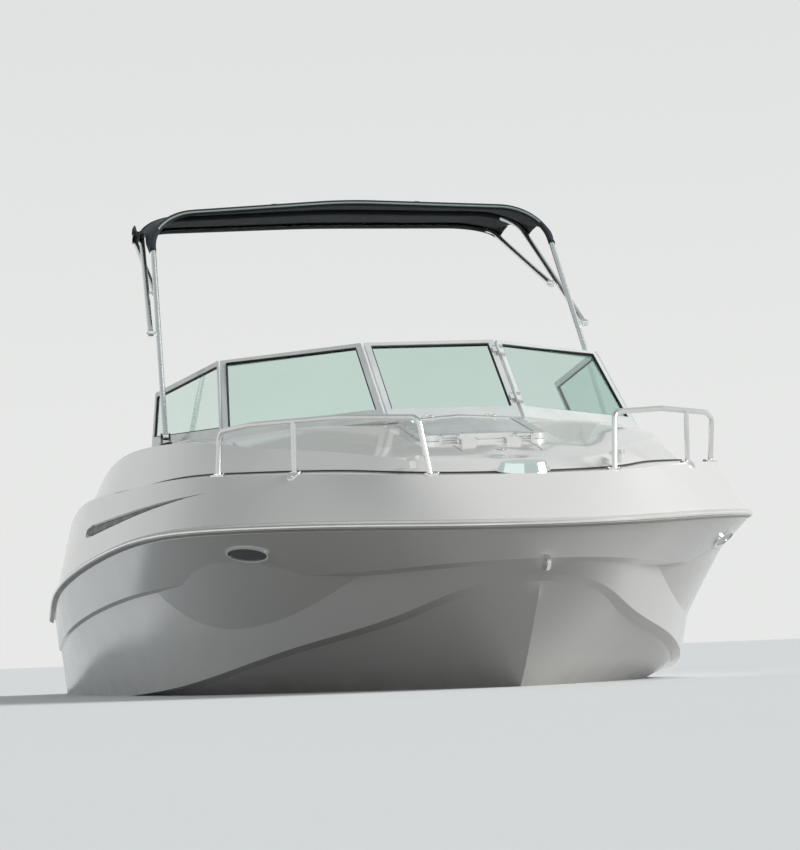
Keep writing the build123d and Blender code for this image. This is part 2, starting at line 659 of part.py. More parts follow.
# Consoles: helm to starboard, glovebox pod to port
HELM_Y = -560.0
HELM_FACE = ((455, 985), (375, 765))
console_side = (
    (COCKPIT_FRONT_X - 1, SOLE_Z), (COCKPIT_FRONT_X - 1, 1072), (620, 1074), *HELM_FACE,
    (450, 640), (450, SOLE_Z),
)


def console(side):
    """A pod against the bulkhead, from the coaming wall inwards."""
    with BuildPart() as pod:
        with BuildSketch(Plane.XZ.offset(-side * (LINER_INNER - 1))) as profile:
            with BuildLine():
                Polyline(*console_side, close=True)
            make_face()
            fillet(profile.vertices().sort_by(Axis.Z)[-1], 40)
        extrude(amount=side * 610)
        add(deck.part, mode=Mode.SUBTRACT)
    return pod.part


save("helm_console", console(-1))
save("port_console", console(1))

# Steering wheel on an axis that leans with the helm face
face_run = Vector(HELM_FACE[0][0] - HELM_FACE[1][0], 0, HELM_FACE[0][1] - HELM_FACE[1][1]).normalized()
wheel_axis = Vector(-face_run.Z, 0, face_run.X)
face_x, face_z = ((top + foot) / 2 for top, foot in zip(*HELM_FACE))
face_middle = Vector(face_x, HELM_Y, face_z)
wheel_centre = face_middle + wheel_axis * 95
WHEEL_R = 178.0
wheel_plane = Plane(origin=wheel_centre, x_dir=(0, 1, 0), z_dir=wheel_axis)
with BuildPart() as steering_wheel:
    with BuildSketch(Plane(origin=wheel_centre + wheel_plane.x_dir * WHEEL_R, x_dir=wheel_plane.x_dir,
                           z_dir=wheel_plane.y_dir)):
        Circle(14)
    revolve(axis=Axis(wheel_centre, wheel_axis))
    for turn in (90, 210, 330):
        reach = wheel_plane.x_dir * cos(radians(turn)) + wheel_plane.y_dir * sin(radians(turn))
        wide = wheel_axis.cross(reach)
        with BuildSketch(Plane(origin=wheel_centre - wheel_axis * 16, z_dir=reach, x_dir=wide)):
            Rectangle(26, 7)
        extrude(amount=WHEEL_R - 4)
    with BuildSketch(wheel_plane.offset(-88)):
        Circle(26)
    extrude(amount=80)
save("steering_wheel", steering_wheel.part)

# Throttle box and lever on the starboard coaming wall
with BuildPart() as throttle:
    with BuildSketch(Plane.XZ.offset(LINER_INNER - 1)):
        with Locations((230, 850)):
            RectangleRounded(90, 150, 30)
    extrude(amount=-32)
    with BuildSketch(Plane.XZ.offset(LINER_INNER - 33)):
        with Locations(Location((215, 905), 18)):
            SlotOverall(150, 22, rotation=90)
    extrude(amount=-14)
    with BuildSketch(Plane.XZ.offset(LINER_INNER - 33)):
        with Locations((195, 965)):
            Circle(18)
    extrude(amount=-60)
save("throttle", throttle.part)

# Helm and passenger seats: the same swivelling bucket, once on each side
SEAT_X = -300.0
SEAT_Y = 545.0
SEAT_BASE_Z = 470.0
seat_side = (
    (-245, 60), (-262, 0), (235, 0), (250, 90), (215, 90), (190, 40), (-205, 40), (-235, 440), (-290, 440),
)
wing_side = ((-262, 2), (200, 2), (215, 170), (-120, 220), (-200, 380), (-272, 400))


def seat_shell(side):
    """A moulded bucket: seat pan, back and two side wings."""
    with BuildPart() as shell:
        with BuildSketch(Plane.XZ.offset(-side * SEAT_Y - 235)) as profile:
            with BuildLine():
                Polyline(*((SEAT_X + x, SEAT_BASE_Z + z) for x, z in seat_side), close=True)
            make_face()
        extrude(amount=470)
        for wing in (-1, 1):
            with BuildSketch(Plane.XZ.offset(-side * SEAT_Y - wing * 225 - 10)):
                with BuildLine():
                    Polyline(*((SEAT_X + x, SEAT_BASE_Z + z) for x, z in wing_side), close=True)
                make_face()
            extrude(amount=20)
    return shell.part


def seat_cushions(side):
    """Seat and back cushion of a bucket."""
    with BuildPart() as cushions:
        with BuildSketch(Plane.XY.offset(SEAT_BASE_Z + 41)) as seat_plan:
            with Locations((SEAT_X - 2, side * SEAT_Y)):
                Rectangle(380, 420)
            fillet(seat_plan.vertices(), 50)
        extrude(amount=105)
        lean = Plane(origin=(SEAT_X - 205, side * SEAT_Y, SEAT_BASE_Z + 155), x_dir=(0, 1, 0),
                     z_dir=Vector(400, 0, 30).normalized())
        with BuildSketch(lean.offset(4)) as back_plan:
            with Locations((0, 190)):
                Rectangle(420, 370)
            fillet(back_plan.vertices(), 70)
        extrude(amount=80)
    return cushions.part


for name, side in (("helm", -1), ("passenger", 1)):
    save(f"{name}_seat_shell", seat_shell(side))
    save(f"{name}_seat_cushions", seat_cushions(side))

with BuildPart() as seat_pedestals:
    for side in (-1, 1):
        with BuildSketch(Plane.XY.offset(SOLE_Z)):
            with Locations((SEAT_X, side * SEAT_Y)):
                Circle(140)
        extrude(amount=12)
        with BuildSketch(Plane.XY.offset(SOLE_Z + 12)):
            with Locations((SEAT_X, side * SEAT_Y)):
                Circle(38)
        extrude(amount=SEAT_BASE_Z - SOLE_Z - 13)
save("seat_pedestals", seat_pedestals.part)

# Bow rails: a low rail each side with a raked front leg
RAIL_TUBE = 11.0
bow_rail_run = (
    (2985, 355, 770), (2905, 385, 1040), (2640, 640, 1062), (2250, 925, 1062), (2010, 1012, 1050),
    (1950, 1015, 862),
)
mid_leg = ((2440, 790, 862), (2450, 790, 1062))
rail_feet = [(x, y) for x, y, z in (bow_rail_run[0], mid_leg[0], bow_rail_run[-1])]
rail_flanges = flanges(rail_feet, 30)


def bow_rail(side):
    """One rail with its middle leg, trimmed at the deck and standing on three round flanges."""
    with BuildPart() as piece:
        add(bent_tube([Vector(x, side * y, z) for x, y, z in bow_rail_run], RAIL_TUBE, [45, 200, 300, 60]))
        add(bent_tube([Vector(x, side * y, z) for x, y, z in mid_leg], RAIL_TUBE - 1, []))
        add(rail_flanges)
        split(bisect_by=Plane.XZ, keep=Keep.BOTTOM if side > 0 else Keep.TOP)
    return piece.part


save("bow_rail_port", seated(bow_rail(1)))
save("bow_rail_starboard", seated(bow_rail(-1)))

# Bow fittings: the polished oval light on the centreline, horn cleats and the bow eye
with BuildPart() as bow_light:
    with BuildSketch(Plane(origin=(2985, 0, 822), x_dir=(1, 0, -0.25), z_dir=(0.25, 0, 1))):
        Ellipse(55, 105)
    extrude(amount=34, taper=25)
save("bow_light", seated(bow_light.part))

CLEATS = ((2860, 400, 846), (-2500, 1070, 700))
with BuildPart() as cleats:
    for x, y, z in CLEATS:
        with BuildSketch(Plane.XY.offset(z)):
            with Locations((x - 28, y), (x + 28, y)):
                Circle(11)
        extrude(amount=34)
        with BuildSketch(Plane.XY.offset(z + 30)):
            with Locations((x, y)):
                SlotOverall(190, 22)
        extrude(amount=16)
    mirror(about=Plane.XZ)
save("cleats", seated(cleats.part))

with BuildPart() as bow_eye:
    with BuildSketch(Plane.XZ):
        with Locations((3300, 462)):
            Ellipse(58, 32)
        with Locations((3326, 462)):
            Circle(12, mode=Mode.SUBTRACT)
    extrude(amount=7, both=True)
    add(hull.part, mode=Mode.SUBTRACT)
save("bow_eye", bow_eye.part)

# Windshield: flat panes in square-section frames, seated on the crown of the deck
FRAME_WIDE = 24.0
FRAME_DEEP = 20.0
GLASS_THICK = 5.0
FOOT_SKIRT = 60.0
base_centre = Vector(1720, 285, 1118)
base_corner = Vector(1250, 875, 1080)
base_end = Vector(-150, 968, 1118)
top_centre = Vector(1280, 285, 1435)
top_corner = Vector(860, 815, 1410)
top_end = Vector(-330, 919, 1350)


def pane_plane(corners):
    """The plane of a pane, with its X along the pane's foot."""
    origin, along, third = corners[0], corners[1], corners[3]
    normal = (along - origin).cross(third - origin)
    return Plane(origin=origin, x_dir=along - origin, z_dir=normal)


def pane(corners, inset, thickness):
    """A flat slab inside four corners, set in by a margin and centred on their plane."""
    plane = pane_plane(corners)
    flat = [plane.to_local_coords(corner) for corner in corners]
    with BuildPart() as slab:
        with BuildSketch(plane):
            with BuildLine():
                Polyline(*((p.X, p.Y) for p in flat), close=True)
            make_face()
            if inset:
                offset(amount=-inset, kind=Kind.INTERSECTION)
        extrude(amount=thickness / 2, both=True)
    return slab.part


def framed(corners, skirt=FOOT_SKIRT):
    """The frame round one pane, with the glass opening cut through and a skirt down to the deck."""
    drop_1, drop_2 = ((corners[i] - corners[3 - i]).normalized() * skirt for i in (0, 1))
    with BuildPart() as frame:
        add(pane([corners[0] + drop_1, corners[1] + drop_2, *corners[2:]], 0, FRAME_DEEP))
        add(pane(corners, FRAME_WIDE, FRAME_DEEP + 4), mode=Mode.SUBTRACT)
    return frame.part


def across(point, side):
    """The point itself, or its mirror image on the other side of the boat."""
    return Vector(point.X, side * point.Y, point.Z)


def side_panes(side):
    """Corners of the front and side panes on one side."""
    order = [
        [base_centre, base_corner, top_corner, top_centre],
        [base_corner, base_end, top_end, top_corner],
    ]
    return [[across(point, side) for point in corners] for corners in order]


# The gate is the middle pane. It hangs on the port frame, in front of the gap between them.
GATE_GAP = 10.0
GATE_HINGE_R = 6.0
GATE_HINGE_PIN = 3.0
GATE_HINGE_LONG = 50.0
GATE_HINGE_AT = (85.0, 455.0)     # up the slope from the foot
GATE_HINGE_PROUD = 18.0           # in front of the plane of the glass
gate = [Vector(p.X, side * (p.Y - GATE_GAP), p.Z) for p, side in
        ((base_centre, -1), (base_centre, 1), (top_centre, 1), (top_centre, -1))]
gate_plane = pane_plane(gate)
gate_wide = 2 * (base_centre.Y - GATE_GAP)


def on_gate(x, y, z):
    """A point given along the foot of the gate, up its slope and out from its glass."""
    return gate_plane.from_local_coords(Vector(x, y, z))


def gate_leaf(x_near, x_far, y, root):
    """A hinge leaf between two distances along the gate's foot, standing out from its root's height."""
    with BuildPart() as leaf:
        with BuildSketch(gate_plane.offset(root)):
            with Locations(((x_near + x_far) / 2, y)):
                Rectangle(x_far - x_near, KNUCKLE_LONG)
        extrude(amount=GATE_HINGE_PROUD + 1 - root)
    return leaf.part


hinge_x = gate_wide + GATE_GAP / 2
gate_hinge = [on_gate(hinge_x, y, GATE_HINGE_PROUD) for y in GATE_HINGE_AT]
knuckle_reach = GATE_HINGE_LONG / 2 + KNUCKLE_GAP + KNUCKLE_LONG / 2

for name, side in (("port", 1), ("starboard", -1)):
    with BuildPart() as windshield_frame:
        for corners in side_panes(side):
            add(framed(corners))
        if side > 0:
            for centre, y in zip(gate_hinge, GATE_HINGE_AT):
                add(hinge_knuckles(centre, gate_plane.y_dir, GATE_HINGE_LONG, GATE_HINGE_R, GATE_HINGE_PIN))
                for end in (-1, 1):
                    add(gate_leaf(hinge_x + 4, hinge_x + 24, y + end * knuckle_reach, -5))
    save(f"windshield_frame_{name}", seated(windshield_frame.part))

with BuildPart() as windshield_glass:
    for side in (1, -1):
        for corners in side_panes(side):
            add(pane(corners, FRAME_WIDE + 0.3, GLASS_THICK))
save("windshield_glass", windshield_glass.part)

with BuildPart() as windshield_gate:
    add(framed(gate))
    for body in crown_slab(-220, GATE_GAP):
        add(body, mode=Mode.SUBTRACT)
    for centre, y in zip(gate_hinge, GATE_HINGE_AT):
        add(hinge_barrel(centre, gate_plane.y_dir, GATE_HINGE_LONG, GATE_HINGE_R, GATE_HINGE_PIN))
        for step in (-1, 0, 1):
            add(gate_leaf(hinge_x - 24, hinge_x - 4, y + step * KNUCKLE_LONG, FRAME_DEEP / 2 - 1))
save("windshield_gate", windshield_gate.part)

with BuildPart() as windshield_gate_glass:
    add(pane(gate, FRAME_WIDE + 0.3, GLASS_THICK))
save("windshield_gate_glass", windshield_gate_glass.part)

# Sterndrive: shield on the transom, steering gimbal, tilting leg and propeller
DRIVE_X = -2800.0
DRIVE_Z = 40.0
PROP_Z = -560.0
with BuildPart() as transom_shield:
    with BuildSketch(Plane.YZ.offset(TRANSOM_X)):
        with Locations((0, DRIVE_Z - 20)):
            RectangleRounded(330, 380, 90)
    extrude(amount=-55, taper=12)
    for z in (DRIVE_Z + 110, DRIVE_Z - 140):
        with BuildSketch(Plane.XY.offset(z)):
            with Locations(((TRANSOM_X - 15 + DRIVE_X - 30) / 2, 0)):
                Rectangle(TRANSOM_X - DRIVE_X + 15, 60)
        extrude(amount=30)
save("transom_shield", transom_shield.part)

GIMBAL_HALF = 20.0
with BuildPart() as drive_gimbal:
    with BuildSketch(Plane.YZ.offset(DRIVE_X - GIMBAL_HALF)):
        with Locations((0, DRIVE_Z)):
            RectangleRounded(240, 206, 60)
            RectangleRounded(176, 150, 40, mode=Mode.SUBTRACT)
    extrude(amount=2 * GIMBAL_HALF)
    with BuildSketch(Plane.XY.offset(DRIVE_Z + 95)):
        with Locations((DRIVE_X, 0)):
            Circle(24)
    extrude(amount=14.5)
    with BuildSketch(Plane.XY.offset(DRIVE_Z - 95)):
        with Locations((DRIVE_X, 0)):
            Circle(24)
    extrude(amount=-14.5)
save("drive_gimbal", drive_gimbal.part)

leg_side = (
    (DRIVE_X + 30, DRIVE_Z + 30), (DRIVE_X - 128, DRIVE_Z + 30), (DRIVE_X - 165, DRIVE_Z + 62),
    (DRIVE_X - 208, DRIVE_Z + 48), (DRIVE_X - 235, -330), (DRIVE_X - 100, -330),
    (DRIVE_X - 40, DRIVE_Z - 60), (DRIVE_X + 30, DRIVE_Z - 50),
)
with BuildPart() as drive_leg:
    with BuildSketch(Plane.XZ.offset(-70)) as upper:
        with BuildLine():
            Polyline(*leg_side, close=True)
        make_face()
        fillet(upper.vertices(), 14)
    extrude(amount=140)
    with BuildSketch(Plane.XZ.offset(-87.5)):
        with Locations((DRIVE_X, DRIVE_Z)):
            Circle(24)
    extrude(amount=175)
    with BuildSketch(Plane.XY.offset(-330)):
        with Locations((DRIVE_X - 150, 0)):
            Ellipse(110, 46)
    extrude(amount=-235)
    with BuildSketch(Plane.XY.offset(-352)):
        with BuildLine():
            Polyline((DRIVE_X - 40, 0), (DRIVE_X - 120, 110), (DRIVE_X - 400, 130), (DRIVE_X - 430, 60),
                     (DRIVE_X - 430, -60), (DRIVE_X - 400, -130), (DRIVE_X - 120, -110), close=True)
        make_face()
    extrude(amount=12)
    with BuildSketch(Plane.YZ.offset(DRIVE_X - 262)):
        with Locations((0, PROP_Z)):
            Circle(58)
    extrude(amount=200)
    with BuildSketch(Plane.YZ.offset(DRIVE_X - 62)):
        with Locations((0, PROP_Z)):
            Circle(58)
    extrude(amount=90, taper=28)
    with BuildSketch(Plane.XZ.offset(-6)):
        with BuildLine():
            Polyline((DRIVE_X - 70, PROP_Z - 40), (DRIVE_X - 150, PROP_Z - 220),
                     (DRIVE_X - 235, PROP_Z - 225), (DRIVE_X - 255, PROP_Z - 40), close=True)
        make_face()
    extrude(amount=12)
save("drive_leg", drive_leg.part)

BLADES = 3
HUB_R = 52.0
BLADE_HALF_THICK = 5.0
blade_sections = (
    # radius, chord, pitch
    (30, 84, 62), (70, 118, 54), (105, 138, 46), (135, 134, 40), (160, 116, 35), (175, 84, 32),
    (183, 48, 31),
)
with BuildPart() as propeller:
    with BuildSketch(Plane.YZ.offset(DRIVE_X - 268)):
        with Locations((0, PROP_Z)):
            Circle(HUB_R)
    extrude(amount=-110, taper=4)
    hub_middle = Vector(DRIVE_X - 322, 0, PROP_Z)
    for blade in range(BLADES):
        turn = Location((0, 0, 0), (1, 0, 0), 360 / BLADES * blade)
        sections = []
        for radius, chord, pitch in blade_sections:
            lean = Location((0, 0, radius), (0, 0, 1), pitch)
            with BuildSketch(Plane(Location(hub_middle) * turn * lean)) as section:
                with BuildLine():
                    ThreePointArc((0, -chord / 2), (BLADE_HALF_THICK, 0), (0, chord / 2))
                    ThreePointArc((0, chord / 2), (-BLADE_HALF_THICK, 0), (0, -chord / 2))
                make_face()
            sections.append(section.sketch.faces()[0])
        loft(sections, ruled=True)
save("propeller", propeller.part)

# Boarding ladder, folded forward on the platform
LADDER_LONG = 440.0
with BuildPart() as boarding_ladder:
    for side in (-1, 1):
        with BuildSketch(Plane.YZ.offset(LADDER_PIVOT[0] - 16)):
            with Locations((LADDER_Y + side * LADDER_HALF, LADDER_PIVOT[1])):
                Circle(LADDER_TUBE)
        extrude(amount=LADDER_LONG)
    for step in (60, 230, 400):
        with BuildSketch(Plane.XZ.offset(-LADDER_Y - LADDER_HALF)):
            with Locations((LADDER_PIVOT[0] + step, LADDER_PIVOT[1])):
                SlotOverall(46, 16)
        extrude(amount=2 * LADDER_HALF)
    pin_x, pin_z = LADDER_PIVOT
    for side in (-1, 1):
        tube_y = LADDER_Y + side * LADDER_HALF
        lug_y = tube_y + side * (LUG_HALF + 9)
        add(rod((pin_x, tube_y, pin_z), (pin_x, lug_y, pin_z), LADDER_PIN))
save("boarding_ladder", boarding_ladder.part)

# Folding top: the front bow stands on deck mounts, the main bow hangs on it, the rear bow on the main bow
BOW_TUBE = 12.5
EYE_R = 15.0
EYE_LONG = 24.0
TOP_PIN = 5.0
FOOT_STEP = 36.0            # sideways step from one bow's tube to the foot of the next
SHOULDER_BEND = 220.0
CROWN_BEND = 2000.0
CROWN_RISE = 60.0
top_bows = (
    # name, foot, shoulder, where the next bow hangs along the leg, side it hangs on
    ("bimini_front_bow", (360, 990, 1120), (-440, 905, 2165), (-7, 951, 1600), 1),
    ("bimini_main_bow", (-7, 987, 1600), (-940, 885, 2190), (-334, 951, 1807), -1),
    ("bimini_rear_bow", (-334, 915, 1807), (-1420, 860, 2185), None, 0),
)


def across_rod(x, y_start, y_end, z, radius):
    """A round bar that runs straight across the boat."""
    return rod((x, y_start, z), (x, y_end, z), radius)


def top_bow(foot, shoulder, hanger, hanger_side):
    """A bow with eyes at its feet and, on each leg, the pin that the next bow turns on."""
    right = [Vector(*foot), Vector(*shoulder)]
    left = [across(point, -1) for point in reversed(right)]
    lean = (right[1] - right[0]).normalized()
    middle = Vector(right[1].X, 0, right[1].Z) + Vector(lean.X, 0, lean.Z) * CROWN_RISE
    x, y, z = foot
    with BuildPart() as bow:
        add(bent_tube([*right, middle, *left], BOW_TUBE, [SHOULDER_BEND, CROWN_BEND, SHOULDER_BEND]))
        for side in (-1, 1):
            add(across_rod(x, side * y - EYE_LONG / 2, side * y + EYE_LONG / 2, z, EYE_R))
            if hanger:
                out = hanger[1] + hanger_side * (FOOT_STEP + EYE_LONG / 2 + 6)
                add(across_rod(hanger[0], side * hanger[1], side * out, hanger[2], TOP_PIN))
        for side in (-1, 1):
            bore = across_rod(x, side * y - EYE_LONG, side * y + EYE_LONG, z, TOP_PIN + PIN_PLAY)
            add(bore, mode=Mode.SUBTRACT)
    return bow.part


for name, foot, shoulder, hanger, hanger_side in top_bows:
    save(name, top_bow(foot, shoulder, hanger, hanger_side))

MOUNT_X, MOUNT_Y, MOUNT_Z = top_bows[0][1]
CHEEK_THICK = 5.0
CHEEK_INNER = 15.0
with BuildPart() as bimini_mounts:
    with BuildSketch(Plane.XY.offset(900)):
        with Locations((MOUNT_X, -MOUNT_Y), (MOUNT_X, MOUNT_Y)):
            RectangleRounded(96, 44, 10)
    extrude(amount=400)
    add(deck_layer, mode=Mode.INTERSECT)
    for side in (-1, 1):
        for cheek in (-1, 1):
            inner = side * MOUNT_Y + cheek * CHEEK_INNER
            with BuildSketch(Plane.XZ.offset(-inner)):
                with Locations((MOUNT_X, MOUNT_Z)):
                    Circle(EYE_R)
                with Locations((MOUNT_X, MOUNT_Z - 40)):
                    Rectangle(2 * EYE_R, 80)
            extrude(amount=-cheek * CHEEK_THICK)
        reach = CHEEK_INNER + CHEEK_THICK + 2
        add(across_rod(MOUNT_X, side * MOUNT_Y - reach, side * MOUNT_Y + reach, MOUNT_Z, TOP_PIN))
save("bimini_mounts", seated(bimini_mounts.part))

CANVAS_THICK = 6.0
front_lean = (Vector(*top_bows[0][2]) - Vector(*top_bows[0][1])).normalized()
front_lean = Vector(front_lean.X, 0, front_lean.Z).normalized()
front_plane = Plane(
    origin=Vector(top_bows[0][2][0], 0, top_bows[0][2][2]),
    x_dir=(0, 1, 0),
    z_dir=Vector(0, 1, 0).cross(front_lean),
)
canvas_sections = (
    # plane, half width, shoulder, crown and lower edge above the plane's origin, shoulder bend
    (front_plane.offset(16), 940, 20, 80, -200, 190),
    (Plane(origin=(-960, 0, 2190), x_dir=(0, 1, 0), z_dir=(1, 0, 0)), 940, 22, 76, -150, 150),
    (Plane(origin=(-1500, 0, 2185), x_dir=(0, 1, 0), z_dir=(1, 0, 0)), 890, 22, 66, -120, 120),
)


def canvas_block(inset):
    """The space under the canvas's outer face, or under its inner face."""
    sections = []
    for plane, half, shoulder_z, crown_z, low_z, bend in canvas_sections:
        side, top = half - inset, shoulder_z - inset
        with BuildSketch(plane) as section:
            with BuildLine():
                FilletPolyline((-side, low_z), (-side, top), (0, crown_z - inset), (side, top),
                               (side, low_z), radius=(bend, CROWN_BEND, bend))
                Line((side, low_z), (-side, low_z))
            make_face()
        sections.append(section.sketch.faces()[0])
    with BuildPart() as filled:
        loft(sections, ruled=True)
    return filled.part


with BuildPart() as bimini_canvas:
    add(canvas_block(0))
    add(canvas_block(CANVAS_THICK), mode=Mode.SUBTRACT)
save("bimini_canvas", bimini_canvas.part)
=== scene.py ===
"""Looks of a 6.5 m cuddy speedboat: finishes, upholstery, folding top, trim and fittings.

Frame: +X forward, +Y to port, +Z up. The origin is amidships, at the waterline. All sizes are metres.
"""
from math import cos, hypot, pi, radians, sin, tan

import bmesh
import bpy
from mathutils import Matrix, Quaternion, Vector, noise
from mathutils.bvhtree import BVHTree


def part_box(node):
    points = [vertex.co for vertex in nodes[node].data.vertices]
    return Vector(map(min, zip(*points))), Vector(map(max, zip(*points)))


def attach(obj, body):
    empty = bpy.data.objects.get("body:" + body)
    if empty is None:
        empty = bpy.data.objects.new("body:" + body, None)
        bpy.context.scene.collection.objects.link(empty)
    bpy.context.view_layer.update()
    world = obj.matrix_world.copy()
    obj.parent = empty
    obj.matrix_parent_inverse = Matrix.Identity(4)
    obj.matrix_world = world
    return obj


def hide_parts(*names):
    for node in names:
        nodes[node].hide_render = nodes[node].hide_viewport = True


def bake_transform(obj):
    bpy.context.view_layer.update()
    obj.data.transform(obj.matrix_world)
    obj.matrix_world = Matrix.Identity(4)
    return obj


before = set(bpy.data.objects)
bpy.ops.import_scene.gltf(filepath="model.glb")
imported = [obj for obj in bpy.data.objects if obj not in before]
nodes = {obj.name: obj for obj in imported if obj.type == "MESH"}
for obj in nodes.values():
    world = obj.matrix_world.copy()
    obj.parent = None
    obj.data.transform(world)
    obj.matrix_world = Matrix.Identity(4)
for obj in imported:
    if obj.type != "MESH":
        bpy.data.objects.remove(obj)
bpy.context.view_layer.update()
scene = bpy.context.scene

# Driving dimensions of the view
CAMERA_AZIMUTH = radians(79.1)
CAMERA_DISTANCE = 20.0
CAMERA_HEIGHT = 0.15
AIM_HEIGHT = 1.16
AIM_TO_PORT = 0.118
HEEL = 0.038            # radians; the boat leans to starboard in the photograph
LENS_MM = 202.0
SENSOR_MM = 36.0
CLIP_END = 1000

# Light. Suns: name, direction to it, strength, and spread in degrees. Sky seen: height and colour of each stop
SUNS = (("key", (0.42, 0.80, 0.56), 2.55, 34), ("fill", (0.80, -0.35, 0.55), 0.30, 60))
SKY_LIGHT = (0.90, 0.96, 1.0)
SKY_STRENGTH = 0.33
SKY_SEEN = ((0.05, (0.80, 0.81, 0.80, 1)), (0.90, (0.36, 0.40, 0.42, 1)))
FLOOR_HALF = 300.0
FLOOR_SEEN = (0.84, 0.85, 0.85)
FLOOR_BOUNCE = (0.16, 0.16, 0.15)

# Folding top, as in the CAD: foot and shoulder of each bow on the port side, and how far the cloth
# hangs below the shoulder along the leg
BOW_TUBE = 0.0125
BOW_BEND = 0.22
CROWN_RISE = 0.06
TOP_BOWS = {
    "front": (Vector((0.360, 0.990, 1.120)), Vector((-0.440, 0.905, 2.165)), 0.225),
    "main": (Vector((-0.007, 0.987, 1.600)), Vector((-0.940, 0.885, 2.190)), 0.205),
    "rear": (Vector((-0.334, 0.915, 1.807)), Vector((-1.420, 0.860, 2.185)), 0.205),
}


# Camera, floor and light

def add_object(name, data):
    made = bpy.data.objects.new(name, data)
    scene.collection.objects.link(made)
    return made


def make_camera():
    """The photograph's view: low over the water, eleven degrees to starboard of the bow."""
    back = Vector((sin(CAMERA_AZIMUTH), -cos(CAMERA_AZIMUTH), 0))
    right = Vector((cos(CAMERA_AZIMUTH), sin(CAMERA_AZIMUTH), 0))
    data = bpy.data.cameras.new("camera")
    data.sensor_fit = "HORIZONTAL"
    data.sensor_width = SENSOR_MM
    data.lens = LENS_MM
    data.clip_end = CLIP_END
    camera = add_object("camera", data)
    camera.location = back * CAMERA_DISTANCE + Vector((0, 0, CAMERA_HEIGHT))
    look = right * AIM_TO_PORT + Vector((0, 0, AIM_HEIGHT)) - camera.location
    camera.rotation_mode = "QUATERNION"
    camera.rotation_quaternion = look.to_track_quat("-Z", "Y") @ Quaternion((0, 0, 1), -HEEL)
    scene.camera = camera


def make_light():
    """A soft sun from high on the port bow, a weak fill, and a sky that looks paler at the horizon."""
    for name, direction, strength, spread in SUNS:
        data = bpy.data.lights.new(name, "SUN")
        data.energy = strength
        data.angle = radians(spread)
        lamp = add_object(name, data)
        lamp.rotation_mode = "QUATERNION"
        lamp.rotation_quaternion = Vector(direction).to_track_quat("Z", "Y")
    world = bpy.data.worlds.new("studio")
    scene.world = world
    world.use_nodes = True
    world.node_tree.nodes.clear()
    sky = Graph(world.node_tree)
    lighting, seen = sky.node("ShaderNodeBackground"), sky.node("ShaderNodeBackground")
    sky.feed(lighting.inputs["Color"], SKY_LIGHT)
    sky.feed(lighting.inputs["Strength"], SKY_STRENGTH)
    split = sky.node("ShaderNodeSeparateXYZ")
    sky.link(sky.node("ShaderNodeTexCoord").outputs["Generated"], split.inputs[0])
    ramp = sky.node("ShaderNodeValToRGB")
    for stop, (position, colour) in zip(ramp.color_ramp.elements[:], SKY_SEEN):
        stop.position, stop.color = position, colour
    sky.link(split.outputs["Z"], ramp.inputs["Fac"])
    sky.link(ramp.outputs["Color"], seen.inputs["Color"])
    mix = sky.node("ShaderNodeMixShader")
    for socket, output in zip(mix.inputs, (sky.looked_at(), lighting.outputs[0], seen.outputs[0])):
        sky.link(output, socket)
    sky.link(mix.outputs[0], sky.node("ShaderNodeOutputWorld").inputs["Surface"])
    scene.view_settings.view_transform = "Standard"


def make_floor():
    """A pale floor at the waterline that throws little light back up."""
    finish = Finish("floor", FLOOR_SEEN, Roughness=0.9)
    finish.paint(finish.mix(finish.looked_at(), FLOOR_BOUNCE, finish.mottle(0.006, 0.05)))
    mesh = bpy.data.meshes.new("floor")
    corners = [(x * FLOOR_HALF, y * FLOOR_HALF, 0) for x, y in ((-1, -1), (1, -1), (1, 1), (-1, 1))]
    mesh.from_pydata(corners, [], [(0, 1, 2, 3)])
    mesh.materials.append(finish.material)
    add_object("floor", mesh)


# Materials

class Graph:
    """A tree of shader nodes."""

    def __init__(self, tree):
        self.tree = tree

    def node(self, kind, **settings):
        made = self.tree.nodes.new(kind)
        for key, value in settings.items():
            setattr(made, key, value)
        return made

    def link(self, source, target):
        self.tree.links.new(source, target)

    def feed(self, target, value):
        """A number, a colour or another node's output into an input."""
        if isinstance(value, (int, float)):
            target.default_value = value
        elif isinstance(value, tuple):
            target.default_value = (*value, 1)
        else:
            self.link(value, target)

    def math(self, operation, *values):
        made = self.node("ShaderNodeMath", operation=operation)
        for socket, value in zip(made.inputs, values):
            self.feed(socket, value)
        return made.outputs[0]

    def product(self, first, *others):
        for other in others:
            first = self.math("MULTIPLY", first, other)
        return first

    def looked_at(self):
        """1 for a ray from the camera, off a mirror or through glass, and 0 for a ray that lights something."""
        rays = self.node("ShaderNodeLightPath").outputs
        direct = self.math("MAXIMUM", rays["Is Camera Ray"], rays["Is Glossy Ray"])
        return self.math("MAXIMUM", direct, rays["Is Transmission Ray"])


